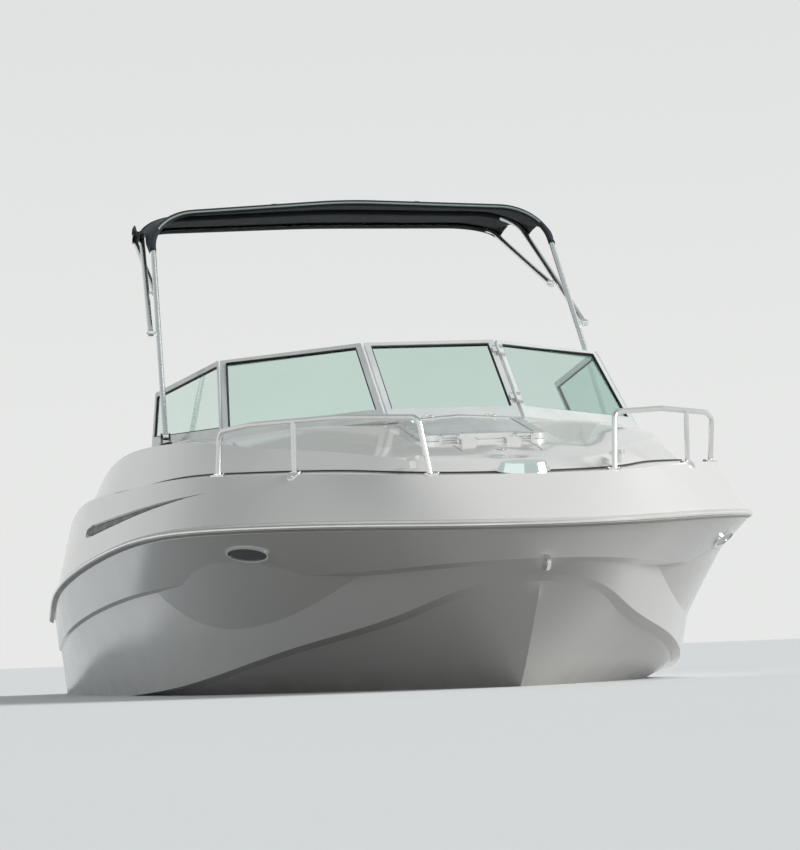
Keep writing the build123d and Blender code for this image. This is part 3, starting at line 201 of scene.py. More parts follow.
class Finish(Graph):
    """One procedural material: a Principled shader and the nodes that feed it."""

    def __init__(self, name, colour, **sockets):
        self.material = bpy.data.materials.new(name)
        self.material.use_nodes = True
        super().__init__(self.material.node_tree)
        self.shader = self.tree.nodes["Principled BSDF"].inputs
        self.base = colour
        self.feed(self.shader["Base Color"], colour)
        for key, value in sockets.items():
            self.shader[key.replace("_", " ")].default_value = value
        coordinates = self.node("ShaderNodeTexCoord")
        self.place = coordinates.outputs["Object"]
        self.x, self.y, self.z = self.split(self.place)
        self.up = self.split(coordinates.outputs["Normal"])[2]
        self.height = None

    def split(self, vector):
        made = self.node("ShaderNodeSeparateXYZ")
        self.link(vector, made.inputs[0])
        return made.outputs

    def spread(self, value, low, high, to_low=0.0, to_high=1.0):
        """A value remapped, and held at both ends."""
        made = self.node("ShaderNodeMapRange")
        for socket, number in zip(made.inputs, (value, low, high, to_low, to_high)):
            self.feed(socket, number)
        return made.outputs[0]

    def between(self, value, low, high, soft=0.004):
        """1 between two limits, 0 outside them."""
        return self.product(self.spread(value, low - soft, low + soft),
                            self.spread(value, high - soft, high + soft, 1.0, 0.0))

    def texture(self, kind, stretch=None, settings=None, **values):
        """A texture node over the object's coordinates, stretched if asked."""
        made = self.node(kind, **(settings or {}))
        place = self.place
        if stretch:
            mapping = self.node("ShaderNodeMapping")
            self.link(place, mapping.inputs["Vector"])
            mapping.inputs["Scale"].default_value = stretch
            place = mapping.outputs[0]
        self.link(place, made.inputs["Vector"])
        for key, value in values.items():
            made.inputs[key].default_value = value
        return made.outputs

    def noise(self, scale, detail=4.0, rough=0.5, stretch=None):
        return self.texture("ShaderNodeTexNoise", stretch, Scale=scale, Detail=detail, Roughness=rough)["Fac"]

    def cells(self, scale):
        """Distance to the edge of the nearest cell, as in a leather grain."""
        settings = {"feature": "DISTANCE_TO_EDGE"}
        return self.texture("ShaderNodeTexVoronoi", settings=settings, Scale=scale)["Distance"]

    def wave(self, value, pitch):
        """A sine of that pitch along one coordinate."""
        return self.math("SINE", self.product(value, 2 * pi / pitch))

    def mix(self, factor, a, b):
        """A colour between two, each of them a colour or another node's output."""
        made = self.node("ShaderNodeMix", data_type="RGBA")
        for number, value in ((0, factor), (6, a), (7, b)):
            self.feed(made.inputs[number], value)
        return made.outputs[2]

    def mottle(self, amount, scale):
        """The base colour, a little darker and lighter from place to place."""
        dark, light = (tuple(min(1.0, c * (1 + change)) for c in self.base) for change in (-amount, amount))
        return self.mix(self.spread(self.noise(scale, 5.0, 0.6), 0.3, 0.7), dark, light)

    def paint(self, colour):
        self.link(colour, self.shader["Base Color"])

    def gloss(self, low, high, scale, stretch=None):
        """Roughness between two values, in smudges."""
        smudges = self.noise(scale, 6, 0.6, stretch)
        self.link(self.spread(smudges, 0.3, 0.7, low, high), self.shader["Roughness"])

    def bump(self, height, distance, strength=1.0):
        """Relief on top of any relief before it."""
        made = self.node("ShaderNodeBump")
        made.inputs["Distance"].default_value = distance
        made.inputs["Strength"].default_value = strength
        self.link(height, made.inputs["Height"])
        if self.height:
            self.link(self.height, made.inputs["Normal"])
        self.height = made.outputs[0]
        self.link(self.height, self.shader["Normal"])

    def grain(self, scale, detail, distance, strength, rough=0.5, stretch=None):
        """Relief from noise."""
        self.bump(self.noise(scale, detail, rough, stretch), distance, strength)

    def diamonds(self, pitch):
        """Raised diamond points of a moulded non-skid surface."""
        return self.product(self.wave(self.math("ADD", self.x, self.y), pitch),
                            self.wave(self.math("SUBTRACT", self.x, self.y), pitch))


GELCOAT = (0.80, 0.785, 0.755)
NON_SKID_PITCH = 0.011
NON_SKID_DIRT = (0.47, 0.46, 0.43)


def gelcoat(name, colour=GELCOAT, non_skid=None, waterline=False):
    """Polished gelcoat with faint orange peel. Non-skid areas are given by a function of the finish."""
    finish = Finish(name, colour, IOR=1.5, Coat_Weight=0.5, Coat_Roughness=0.04)
    tone = finish.mottle(0.03, 0.9)
    if waterline:
        streaks = finish.noise(5.0, 6, 0.65, stretch=(1, 1, 0.15))
        band = finish.between(finish.z, -0.03, 0.05, soft=0.05)
        below = finish.spread(finish.z, -0.02, -0.10)
        for area, reach, stain in ((band, (0.35, 0.75, 0.05, 0.5), (0.42, 0.37, 0.27)),
                                   (below, (0.2, 0.8, 0.15, 0.55), (0.50, 0.50, 0.42))):
            tone = finish.mix(finish.product(area, finish.spread(streaks, *reach)), tone, stain)
    finish.gloss(0.10, 0.22, 3.0)
    finish.grain(90.0, 2, 0.0004, 0.25)
    finish.grain(1.6, 2, 0.004, 0.3)
    if non_skid:
        mask = non_skid(finish)
        pattern = finish.spread(finish.diamonds(NON_SKID_PITCH), -0.2, 0.6)
        finish.bump(finish.product(pattern, mask), 0.0016)
        dirt = finish.product(mask, finish.spread(pattern, 0.0, 1.0, 0.45, 0.12))
        tone = finish.mix(dirt, tone, NON_SKID_DIRT)
        finish.link(finish.spread(mask, 0.0, 1.0, 0.14, 0.6), finish.shader["Roughness"])
    finish.paint(tone)
    return finish.material


def deck_non_skid(finish):
    """Two panels on the cabin top, with smooth margins round them and round the hatch."""
    soft = 0.003
    side = finish.math("ABSOLUTE", finish.y)
    outer = finish.spread(finish.x, 1.35, 2.80, 0.72, 0.27)
    foot = finish.spread(side, 0.30, 0.80, 1.80, 1.42)
    inside = finish.spread(finish.math("SUBTRACT", outer, side), -soft, soft)
    ahead = finish.spread(finish.math("SUBTRACT", finish.x, foot), -soft, soft)
    beside_hatch = finish.spread(side, 0.300, 0.306)
    before_hatch = finish.spread(finish.x, 1.778, 1.772)
    clear = finish.math("MAXIMUM", beside_hatch, before_hatch)
    return finish.product(inside, ahead, clear, finish.spread(finish.x, 2.368, 2.362))


def level_non_skid(finish, aft, fore, half):
    """Level faces between two stations, with a smooth margin on each side."""
    side = finish.math("ABSOLUTE", finish.y)
    return finish.product(finish.spread(finish.up, 0.965, 0.985), finish.between(finish.x, aft, fore),
                          finish.spread(side, half, half - 0.006))


def sole_non_skid(finish):
    return finish.product(level_non_skid(finish, -1.50, 0.60, 0.835), finish.spread(finish.z, 0.23, 0.22))


def platform_non_skid(finish):
    return level_non_skid(finish, -3.10, -2.70, 0.866)


def metal(name, colour, low, high, scratch=0.3, stretch=(1, 1, 12)):
    """Brushed or polished metal, with fine scratches along one direction."""
    finish = Finish(name, colour, Metallic=1.0)
    finish.paint(finish.mottle(0.05, 7.0))
    finish.gloss(low, high, 14.0, stretch)
    finish.grain(300.0, 3, 0.00004, scratch, 0.6, stretch)
    return finish.material


def glass(name, colour, rough=0.01):
    """Glass with a few dull spots; its tint is painted reflection of green surroundings."""
    finish = Finish(name, colour, Transmission_Weight=1.0, IOR=1.45, Roughness=rough)
    spots = finish.spread(finish.noise(60.0, 5, 0.7), 0.62, 0.72, rough, rough + 0.12)
    finish.link(spots, finish.shader["Roughness"])
    finish.paint(finish.mottle(0.03, 1.2))
    finish.grain(2.5, 2, 0.0006, 0.2)
    return finish.material


def plastic(name, colour, low=0.35, high=0.5, grain=500.0, depth=0.0003):
    """Plastic or rubber with a moulded grain."""
    finish = Finish(name, colour, IOR=1.46)
    finish.paint(finish.mottle(0.06, 4.0))
    finish.gloss(low, high, 9.0)
    finish.grain(grain, 2, depth, 0.5, 0.6)
    return finish.material


def vinyl(name, colour):
    """Marine vinyl: a fine leather grain, soft sheen and slight wear."""
    finish = Finish(name, colour, IOR=1.47, Sheen_Weight=0.12, Sheen_Roughness=0.4)
    wear = finish.spread(finish.noise(3.2, 5, 0.65), 0.45, 0.75, 0.0, 0.35)
    finish.paint(finish.mix(wear, finish.mottle(0.04, 1.7), tuple(c * 0.86 for c in colour)))
    finish.gloss(0.38, 0.55, 6.0)
    finish.grain(22.0, 4, 0.0015, 0.35, 0.6)
    finish.bump(finish.cells(520.0), 0.0004, 0.5)
    return finish.material


WEAVE = 0.0022


def canvas(name, colour):
    """Woven acrylic: a plain weave, a soft nap and slight fading."""
    finish = Finish(name, colour, Roughness=0.85, Sheen_Weight=0.12, Sheen_Roughness=0.5)
    weave = finish.product(finish.wave(finish.x, WEAVE), finish.wave(finish.y, WEAVE))
    finish.bump(weave, 0.0005, 0.6)
    finish.grain(9.0, 5, 0.004, 0.35, 0.6, stretch=(0.4, 3, 3))
    faded = finish.spread(finish.noise(2.6, 5, 0.6), 0.35, 0.7, 0.0, 0.30)
    lighter = tuple(min(1.0, c * 1.9 + 0.012) for c in colour)
    threads = finish.mix(finish.spread(weave, -1.0, 1.0, 0.0, 0.35), colour, lighter)
    finish.paint(finish.mix(faded, threads, lighter))
    return finish.material


def paint_coat(name, colour, flake=0.0):
    """Sprayed enamel, with fine metal flake if asked."""
    finish = Finish(name, colour, Metallic=flake, Coat_Weight=0.6, Coat_Roughness=0.08)
    chips = finish.spread(finish.noise(30.0, 6, 0.7), 0.70, 0.74, 0.0, 0.6)
    bare = tuple(min(1, c * 2.2 + 0.05) for c in colour)
    finish.paint(finish.mix(chips, finish.mottle(0.10, 5.0), bare))
    finish.gloss(0.25, 0.45, 8.0)
    finish.grain(160.0, 3, 0.0004, 0.3)
    return finish.material


# Each material: its name, its maker, and what the maker takes after the name, mostly a colour in linear RGB.
# Plastic then has its lowest and highest roughness, and the scale and depth of its grain
MATERIALS = {name: maker(name, *values) for name, maker, *values in (
    ("hull", gelcoat, GELCOAT, None, True),
    ("deck", gelcoat, GELCOAT, deck_non_skid),
    ("liner", gelcoat, (0.78, 0.765, 0.735), sole_non_skid),
    ("platform", gelcoat, GELCOAT, platform_non_skid),
    ("moulding", gelcoat, (0.79, 0.775, 0.745)),
    ("rail_vinyl", plastic, (0.66, 0.65, 0.62), 0.3, 0.45),
    ("acrylic", plastic, (0.018, 0.022, 0.026), 0.06, 0.14, 40.0, 0.0001),
    ("hatch_acrylic", plastic, (0.60, 0.62, 0.61), 0.16, 0.28, 40.0, 0.0001),
    ("dial", plastic, (0.012, 0.012, 0.014), 0.25, 0.35),
    ("dial_mark", plastic, (0.75, 0.75, 0.72), 0.4, 0.5),
    ("black", plastic, (0.020, 0.020, 0.022)),
    ("rubber", plastic, (0.028, 0.028, 0.027), 0.6, 0.75, 220.0, 0.0005),
    ("white_plastic", plastic, (0.70, 0.69, 0.66), 0.28, 0.4),
    ("dash", plastic, (0.075, 0.078, 0.082), 0.5, 0.62, 260.0, 0.0005),
    ("frame_coat", paint_coat, (0.70, 0.73, 0.71)),
    ("engine", paint_coat, (0.055, 0.058, 0.062)),
    ("drive", paint_coat, (0.040, 0.042, 0.046), 0.25),
    ("stainless", metal, (0.80, 0.80, 0.78), 0.10, 0.20),
    ("aluminium", metal, (0.86, 0.87, 0.85), 0.24, 0.34),
    # The bow light's chrome is tinted mint: painted reflection of a teal sky on the polished metal.
    ("chrome", metal, (0.74, 0.84, 0.81), 0.04, 0.10, 0.1),
    ("propeller", metal, (0.62, 0.62, 0.60), 0.22, 0.36, 0.3, (12, 1, 1)),
    # The windshield's green tint is painted reflection of green surroundings seen in the glass.
    ("glass", glass, (0.70, 0.86, 0.79)),
    ("leather", vinyl, (0.022, 0.022, 0.024)),
    ("vinyl", vinyl, (0.76, 0.73, 0.66)),
    ("piping", vinyl, (0.10, 0.13, 0.16)),
    ("berth", canvas, (0.30, 0.31, 0.33)),
    ("canvas", canvas, (0.0045, 0.012, 0.016)),
    ("lining", canvas, (0.011, 0.018, 0.020)),
    ("edge_cord", canvas, (0.30, 0.34, 0.33)),
    ("webbing", canvas, (0.012, 0.016, 0.020)),
)}

NODE_FINISH = {
    "hull": ("hull",),
    "deck": ("deck", "anchor_locker_lid"),
    "liner": ("cockpit_sole", "cockpit_side_port", "cockpit_side_starboard", "engine_box"),
    "platform": ("swim_platform",),
    "moulding": ("cabin_bulkhead", "cabin_berth", "anchor_locker", "aft_bench", "engine_hatch", "transom_door",
                 "helm_console", "port_console"),
    "rail_vinyl": ("rub_rail",),
    "hatch_acrylic": ("deck_hatch_glass",),
    "acrylic": ("portlights", "companionway_door"),
    "frame_coat": ("windshield_frame_port", "windshield_frame_starboard", "windshield_gate"),
    "aluminium": ("deck_hatch_frame", "seat_pedestals", "bimini_main_bow", "bimini_front_bow",
                  "bimini_rear_bow"),
    "glass": ("windshield_glass", "windshield_gate_glass"),
    "stainless": ("bow_rail_port", "bow_rail_starboard", "cleats", "bow_eye", "boarding_ladder",
                  "portlight_rims", "rub_rail_insert", "lid_hinges"),
    "chrome": ("bow_light",),
    "black": ("throttle", "bimini_mounts"),
    "leather": ("steering_wheel",),
    "white_plastic": ("helm_seat_shell", "passenger_seat_shell"),
    "engine": ("engine",),
    "drive": ("transom_shield", "drive_gimbal", "drive_leg"),
    "propeller": ("propeller",),
}


def finish_nodes():
    for key, names in NODE_FINISH.items():
        for name in names:
            materials = nodes[name].data.materials
            materials.clear()
            materials.append(MATERIALS[key])


# Mesh helpers

def circle(radius, count):
    """Pairs evenly spaced round a circle."""
    return [(radius * cos(2 * pi * i / count), radius * sin(2 * pi * i / count)) for i in range(count)]


def turned(location, x_axis, z_axis):
    """A matrix at a point with its X and Z axes along two directions."""
    z = Vector(z_axis).normalized()
    x = Vector(x_axis)
    x = (x - z * x.dot(z)).normalized()
    made = Matrix((x, z.cross(x), z)).transposed().to_4x4()
    made.translation = Vector(location)
    return made


def shift(*step):
    return Matrix.Translation(step)


def moved(place, *step):
    return place @ shift(*step)


def stand(place):
    """The point and the Z axis of a matrix, for forms that are turned round it."""
    return place.translation, place.col[2].xyz


def thicken(made, thickness, offset):
    modifier = made.modifiers.new("thickness", "SOLIDIFY")
    modifier.thickness = thickness
    modifier.offset = offset
    return modifier


class Shape:
    """Collects small forms into one mesh, which becomes one piece."""

    def __init__(self):
        self.vertices = []
        self.faces = []

    def add(self, vertices, faces):
        base = len(self.vertices)
        self.vertices += vertices
        self.faces += [tuple(base + i for i in face) for face in faces]

    def strip(self, rows, closed_rows=False, closed_columns=False, caps=False):
        """A grid of quads over rows of points."""
        tall, wide = len(rows), len(rows[0])
        faces = []
        for i in range(tall if closed_columns else tall - 1):
            for j in range(wide if closed_rows else wide - 1):
                k, m = (i + 1) % tall, (j + 1) % wide
                faces.append((i * wide + j, i * wide + m, k * wide + m, k * wide + j))
        if caps:
            faces.append(tuple(reversed(range(wide))))
            faces.append(tuple((tall - 1) * wide + j for j in range(wide)))
        self.add([p for row in rows for p in row], faces)

    def sweep(self, path, section, normals=None, closed=False):
        """A section of (side, up) points carried along a path. The up side follows the normals, if given."""
        count = len(path)
        rows = []
        side = None
        for i, point in enumerate(path):
            ahead = path[(i + 1) % count] if closed or i + 1 < count else point
            behind = path[i - 1] if closed or i else point
            along = (ahead - behind).normalized()
            if normals:
                side = along.cross(normals[i]).normalized()
            elif side is None:
                side = along.orthogonal().normalized()
            else:
                side = (side - along * side.dot(along)).normalized()
            up = side.cross(along)
            rows.append([point + side * a + up * b for a, b in section])
        self.strip(rows, closed_rows=True, closed_columns=closed, caps=not closed)

    def tube(self, path, radius, sides, closed=False):
        self.sweep(path, circle(radius, sides), closed=closed)

    def lathe(self, at, axis, profile, steps):
        """A profile of (radius, height) pairs turned round an axis."""
        axis = Vector(axis).normalized()
        side = axis.orthogonal().normalized()
        other = axis.cross(side)
        rows = [[Vector(at) + axis * height + side * a + other * b for a, b in circle(radius, steps)]
                for radius, height in profile]
        self.strip(rows, closed_rows=True, caps=True)

    def block(self, matrix, size, bevel):
        """A box with small bevels, centred on a matrix."""
        mesh = bmesh.new()
        bmesh.ops.create_cube(mesh, size=1, matrix=Matrix.Diagonal((*size, 1)))
        bmesh.ops.bevel(mesh, geom=mesh.edges[:], offset=min(bevel, min(size) * 0.45), segments=2,
                        affect="EDGES", profile=0.5)
        mesh.verts.index_update()
        self.add([matrix @ v.co for v in mesh.verts], [[v.index for v in f.verts] for f in mesh.faces])
        mesh.free()

    def screw(self, at, axis, radius):
        """A domed screw head."""
        profile = ((radius, -0.001), (radius, 0.0004), (radius * 0.8, 0.0016), (radius * 0.3, 0.0022),
                   (0.0002, 0.0021))
        self.lathe(at, axis, profile, steps=12)

    def piece(self, name, material, body, slot, smooth=35):
        """One object of all the forms so far. Without a body, it is left unattached."""
        mesh = bpy.data.meshes.new(name)
        mesh.from_pydata(self.vertices, [], self.faces)
        mesh.validate()
        made = add_object(name, mesh)
        fix = bmesh.new()
        fix.from_mesh(mesh)
        bmesh.ops.recalc_face_normals(fix, faces=fix.faces)
        fix.to_mesh(mesh)
        fix.free()
        for face in mesh.polygons:
            face.use_smooth = True
        mesh.set_sharp_from_angle(angle=radians(smooth))
        mesh.materials.append(MATERIALS[material])
        if body:
            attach(made, body)
        return made

    def steel(self, name, body):
        self.piece(name, "stainless", body, "stainless")


# Upholstery

class Cushion:
    """A box cushion whose panels are held at their seams and blown up by pressure."""

    CAP = 0.018             # the furthest that a point may move
    MARGIN = 0.006          # room for the swell inside the CAD solid, on each side
    CHANNEL_DEPTH = 0.006
    COARSE = 0.022          # pitch of the larger cushions' grid
    PIPING = 0.0038
    FRAMES = 20
    CLOTH = dict(quality=4, mass=0.3, tension_stiffness=10, compression_stiffness=10, shear_stiffness=6,
                 bending_stiffness=0.8, use_pressure=True, uniform_pressure_force=4.0, vertex_group_mass="held")

    def __init__(self, name, matrix, size, body, corner, channels, axis=0, pitch=0.017, material="vinyl"):
        """The sewn channels are evenly spaced along an axis, 0 or 1. The pitch is that of the grid."""
        self.name, self.matrix, self.body, self.material = name, matrix, body, material
        self.size = [s - 2 * self.MARGIN for s in size]
        self.corner = corner
        self.counts = [max(4, round(s / pitch)) for s in self.size]
        self.channels = {round(self.counts[axis] * (i + 1) / (channels + 1)) for i in range(channels)}
        self.axis = axis
        self.index = {}
        self.points = []
        self.faces = []
        self.held = set()
        self.build()

    def corner_point(self, key):
        """A grid point of the box, with its corners rounded in plan."""
        half = [s / 2 for s in self.size]
        flat = [(-1 + 2 * n / c) * h for n, c, h in zip(key, self.counts, half)]
        core = [half[0] - self.corner, half[1] - self.corner]
        past = [flat[a] - max(-core[a], min(core[a], flat[a])) for a in (0, 1)]
        reach = max(abs(past[0]), abs(past[1]))
        if past[0] and past[1]:
            length = hypot(*past)
            for a in (0, 1):
                flat[a] += past[a] / length * reach - past[a]
        return Vector(flat)

    def vertex(self, *key):
        if key not in self.index:
            self.index[key] = len(self.points)
            self.points.append(self.corner_point(key))
        return self.index[key]

    def build(self):
        """Top and bottom first, then the border between them, and the points that stay put."""
        nx, ny, nz = self.counts
        for i in range(nx):
            for j in range(ny):
                for k in (0, nz):
                    corners = ((i, j), (i + 1, j), (i + 1, j + 1), (i, j + 1))
                    loop = [self.vertex(*corner, k) for corner in corners]
                    self.faces.append(loop if k else loop[::-1])
        self.rim = [(i, 0) for i in range(nx)] + [(nx, j) for j in range(ny)]
        self.rim += [(i, ny) for i in range(nx, 0, -1)] + [(0, j) for j in range(ny, 0, -1)]
        for here, there in zip(self.rim, self.rim[1:] + self.rim[:1]):
            for k in range(nz):
                loop = ((*here, k), (*there, k), (*there, k + 1), (*here, k + 1))
                self.faces.append([self.vertex(*corner) for corner in loop])
        for (i, j, k), number in self.index.items():
            if k == 0 or (k == nz and (i in (0, nx) or j in (0, ny))):
                self.held.add(number)
            elif k == nz and (i, j)[self.axis] in self.channels:
                self.held.add(number)
                self.points[number].z -= self.CHANNEL_DEPTH

    def inflate(self, made):
        """Cloth pressure between the held seams, with how far a point may move capped."""
        group = made.vertex_groups.new(name="held")
        group.add(list(self.held), 1.0, "REPLACE")
        cloth = made.modifiers.new("Cloth", "CLOTH")
        for key, value in self.CLOTH.items():
            setattr(cloth.settings, key, value)
        cloth.settings.effector_weights.gravity = 0
        cloth.collision_settings.use_collision = False
        for step in range(1, self.FRAMES + 1):
            scene.frame_set(step)
        shaped = made.evaluated_get(bpy.context.evaluated_depsgraph_get()).data
        for rest, vertex, swollen in zip(self.points, made.data.vertices, shaped.vertices):
            move = swollen.co - rest
            vertex.co = rest + move * min(1.0, self.CAP / max(move.length, 1e-6))
        made.modifiers.remove(cloth)
        made.vertex_groups.remove(group)
        scene.frame_set(1)

    def make(self, node):
        """The finished cushion in place of its node, with piping round its top and bottom seams."""
        mesh = bpy.data.meshes.new(self.name)
        mesh.from_pydata(self.points, [], self.faces)
        made = add_object(self.name, mesh)
        self.inflate(made)
        mesh.transform(self.matrix)
        for face in mesh.polygons:
            face.use_smooth = True
        smooth = made.modifiers.new("subdivision", "SUBSURF")
        smooth.levels = smooth.render_levels = 1
        mesh.materials.append(MATERIALS[self.material])
        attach(made, self.body)
        piping = Shape()
        for level in (self.counts[2], 0):
            seam = [self.matrix @ self.points[self.index[(i, j, level)]] for i, j in self.rim]
            piping.tube(seam, self.PIPING, sides=8, closed=True)
        piping.piece(f"{self.name}_piping", "piping", self.body, "upholstery")
        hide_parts(node)


def make_upholstery():
    """Every cushion fills the place of its plain CAD solid."""
    for seat in ("helm_seat", "passenger_seat"):
        node = f"{seat}_cushions"
        low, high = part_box(node)
        y = (low.y + high.y) / 2
        Cushion(f"{seat}_pad", shift(-0.302, y, low.z + 0.0525), (0.38, 0.42, 0.105), seat,
                corner=0.055, channels=4).make(node)
        back = moved(turned((-0.505, y, 0.625), (0, 1, 0), (0.400, 0, 0.030)), 0, 0.19, 0.044)
        Cushion(f"{seat}_back", back, (0.42, 0.37, 0.080), seat, corner=0.07, channels=4).make(node)
    node = "bench_cushions"
    low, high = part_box(node)
    half = (high.y - low.y) / 2
    for number in (1, 2):
        y = low.y + half * (number - 0.5)
        Cushion(f"bench_seat_{number}", shift(low.x + 0.213, y, low.z + 0.055),
                (0.424, half - 0.006, 0.108), "boat", corner=0.035, channels=2, axis=1,
                pitch=Cushion.COARSE).make(node)
        back = turned((low.x + 0.055, y, 0.742), (0, 1, 0), (1, 0, 0))
        Cushion(f"bench_back_{number}", back, (half - 0.006, 0.24, 0.108), "boat", corner=0.045, channels=2,
                pitch=Cushion.COARSE).make(node)
    node = "sun_pad"
    low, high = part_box(node)
    size, middle = high - low, (low + high) / 2
    for number in (1, 2):
        y = low.y + size.y / 2 * (number - 0.5)
        Cushion(f"sun_pad_{number}", shift(middle.x, y, middle.z),
                (size.x, size.y / 2 - 0.004, size.z), "engine_lid", corner=0.045, channels=3, axis=1,
                pitch=Cushion.COARSE).make(node)
    make_berth("berth_cushion")


def make_berth(node):
    """The berth cushion narrows towards the bow, more steeply past its middle, as the cabin does."""
    low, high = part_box(node)
    pad = Cushion("berth_pad", shift((low.x + high.x) / 2, 0, (low.z + high.z) / 2),
                  [b - a for a, b in zip(low, high)], "boat", corner=0.04, channels=1, pitch=0.035,
                  material="berth")
    half = pad.size[0] / 2
    bend = 0.48
    for point in pad.points:
        share = (point.x + half) / (2 * half)
        point.y *= 0.98 - 0.12 * min(share / bend, 1.0) - 0.34 * max(0.0, (share - bend) / (1 - bend))
    pad.make(node)


# Folding top

def rounded_line(points, bends):
    """The ends of straight runs, with points every 20 mm or so round the arcs that join them."""
    path = [points[0]]
    for before, corner, after, radius in zip(points, points[1:], points[2:], bends):
        into = (before - corner).normalized()
        out = (after - corner).normalized()
        half = into.angle(out) / 2
        back = radius / tan(half)
        centre = corner + (into + out).normalized() * (radius / sin(half))
        start, end = corner + into * back - centre, corner + out * back - centre
        turn = start.angle(end)
        steps = max(2, round(turn * radius / 0.02))
        for i in range(steps + 1):
            share = i / steps
            path.append(centre + (start * sin((1 - share) * turn) + end * sin(share * turn))
                        / sin(turn))
    path.append(points[-1])
    return path


def resample(path, count):
    """The same line, as evenly spaced points."""
    lengths = [0.0]
    for a, b in zip(path, path[1:]):
        lengths.append(lengths[-1] + (b - a).length)
    made = []
    j = 0
    for i in range(count):
        wanted = lengths[-1] * i / (count - 1)
        while j < len(path) - 2 and lengths[j + 1] < wanted:
            j += 1
        share = (wanted - lengths[j]) / max(lengths[j + 1] - lengths[j], 1e-9)
        made.append(path[j].lerp(path[j + 1], share))
    return made


CANVAS_ACROSS = 97      # points from one side hem to the other
BETWEEN_BOWS = 22       # rows from one bow to the next
ROUND_BOW = (180, 150, 120, 90, 60, 30, 0)
SEAMS = (0, 33, 63, CANVAS_ACROSS - 1)
SAG = 0.010             # between two bows
RIPPLE = 0.0045
SCALLOP = 0.062         # rise of the side hems between two bows
CLOTH_CLEAR = BOW_TUBE + 0.0016
CLOTH_THICK = 0.0014
HEM_LIP = 0.055
CROWN_BEND = 2.0


def bow_row(name):
    """Points on one bow under the cloth from starboard to port, each with its outward and forward directions."""
    foot, shoulder, drape = TOP_BOWS[name]
    lean = (shoulder - foot).normalized()
    middle = Vector((shoulder.x, 0, shoulder.z)) + Vector((lean.x, 0, lean.z)) * CROWN_RISE
    port = [shoulder - lean * drape, shoulder]
    starboard = [mirrored(p, -1) for p in reversed(port)]
    line = resample(rounded_line([*port, middle, *starboard], (BOW_BEND, CROWN_BEND, BOW_BEND)), CANVAS_ACROSS)
    made = []
    for i, point in enumerate(line):
        along = (line[min(i + 1, len(line) - 1)] - line[max(i - 1, 0)]).normalized()
        outward = along.cross(Vector((1, 0, 0))).normalized()
        if outward.dot(point - Vector((point.x, 0, shoulder.z - 0.4))) < 0:
            outward = -outward
        fore = outward.cross(along)
        made.append((point, outward, fore if fore.x > 0 else -fore))
    return made


def off_middle(column):
    """0 at the middle of the boat, 1 at either side hem."""
    return abs(column / (CANVAS_ACROSS - 1) * 2 - 1)


def wrap(name, angles):
    """Rows that carry the cloth round a bow, and its hem on the underside. Positive angles go forward."""
    bow = bow_row(name)
    rows = [[p + (n * cos(radians(angle)) + fore * sin(radians(angle))) * CLOTH_CLEAR for p, n, fore in bow]
            for angle in angles]
    sign = -1 if max(angles) > 0 else 1
    hem = []
    for j, (p, n, fore) in enumerate(bow):
        on_leg = min(1.0, max(0.0, (off_middle(j) - 0.80) / 0.10))
        hem.append(p - n * (CLOTH_CLEAR * 0.4) + fore * sign * HEM_LIP * (1 - 0.8 * on_leg))
    return rows, hem


def canvas_rows():
    """The cloth from the front hem to the rear hem, and the number of the row over the main bow."""
    around_front, front_hem = wrap("front", ROUND_BOW)
    around_rear, rear_hem = wrap("rear", [-angle for angle in ROUND_BOW[::-1]])
    rows = [front_hem, *around_front]
    for start, end in (("front", "main"), ("main", "rear")):
        pairs = list(zip(bow_row(start), bow_row(end)))
        for i in range(1, BETWEEN_BOWS + (end == "main")):
            share = i / BETWEEN_BOWS
            hollow = 4 * share * (1 - share)
            row = []
            for j, ((a, na, _), (b, nb, _)) in enumerate(pairs):
                point = (a + na * CLOTH_CLEAR).lerp(b + nb * CLOTH_CLEAR, share)
                normal = na.lerp(nb, share).normalized()
                edge = max(0.0, (off_middle(j) - 0.86) / 0.14)
                wave = noise.noise(Vector((j * 0.33, share * 1.1, 3.7))) * RIPPLE
                point = point - normal * (SAG - wave) * hollow * (1 - edge)
                point.z += hollow * edge * edge * SCALLOP
                row.append(point)
            rows.append(row)
    return [*rows, *around_rear, rear_hem], len(around_front) + BETWEEN_BOWS


def bend_between(made, fore_bow, aft_bow):
    """Finds the way from one bow to the next and the cloth's reach along it, which nothing uses, then bakes the
    cloth's transform into its mesh.
    """
    way = Vector((0, 0, 0))
    for name in (fore_bow, aft_bow):
        foot, shoulder, _ = TOP_BOWS[name]
        way -= Vector((shoulder.z - foot.z, 0, foot.x - shoulder.x)).normalized()
    way.normalize()
    start = max(p.dot(way) for p, _, _ in bow_row(fore_bow)) + BOW_TUBE
    end = min(p.dot(way) for p, _, _ in bow_row(aft_bow)) - BOW_TUBE
    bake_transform(made)


def make_panel(name, rows):
    """One length of the top, with its dark outer face and its lining."""
    shape = Shape()
    shape.strip(rows)
    sheet = shape.piece(name, "canvas", None, "canvas", smooth=180)
    if sum(face.normal.z for face in sheet.data.polygons) < 0:
        sheet.data.flip_normals()
    sheet.data.materials.append(MATERIALS["lining"])
    thicken(sheet, CLOTH_THICK, -1).material_offset = 1
    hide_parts("bimini_canvas")
    return sheet


def ribbon(shape, path, normals, width, lift, thick=0.0012):
    """A flat strip along a line on the cloth."""
    half = width / 2
    shape.sweep(path, [(-half, lift), (half, lift), (half, lift + thick), (-half, lift + thick)], normals)


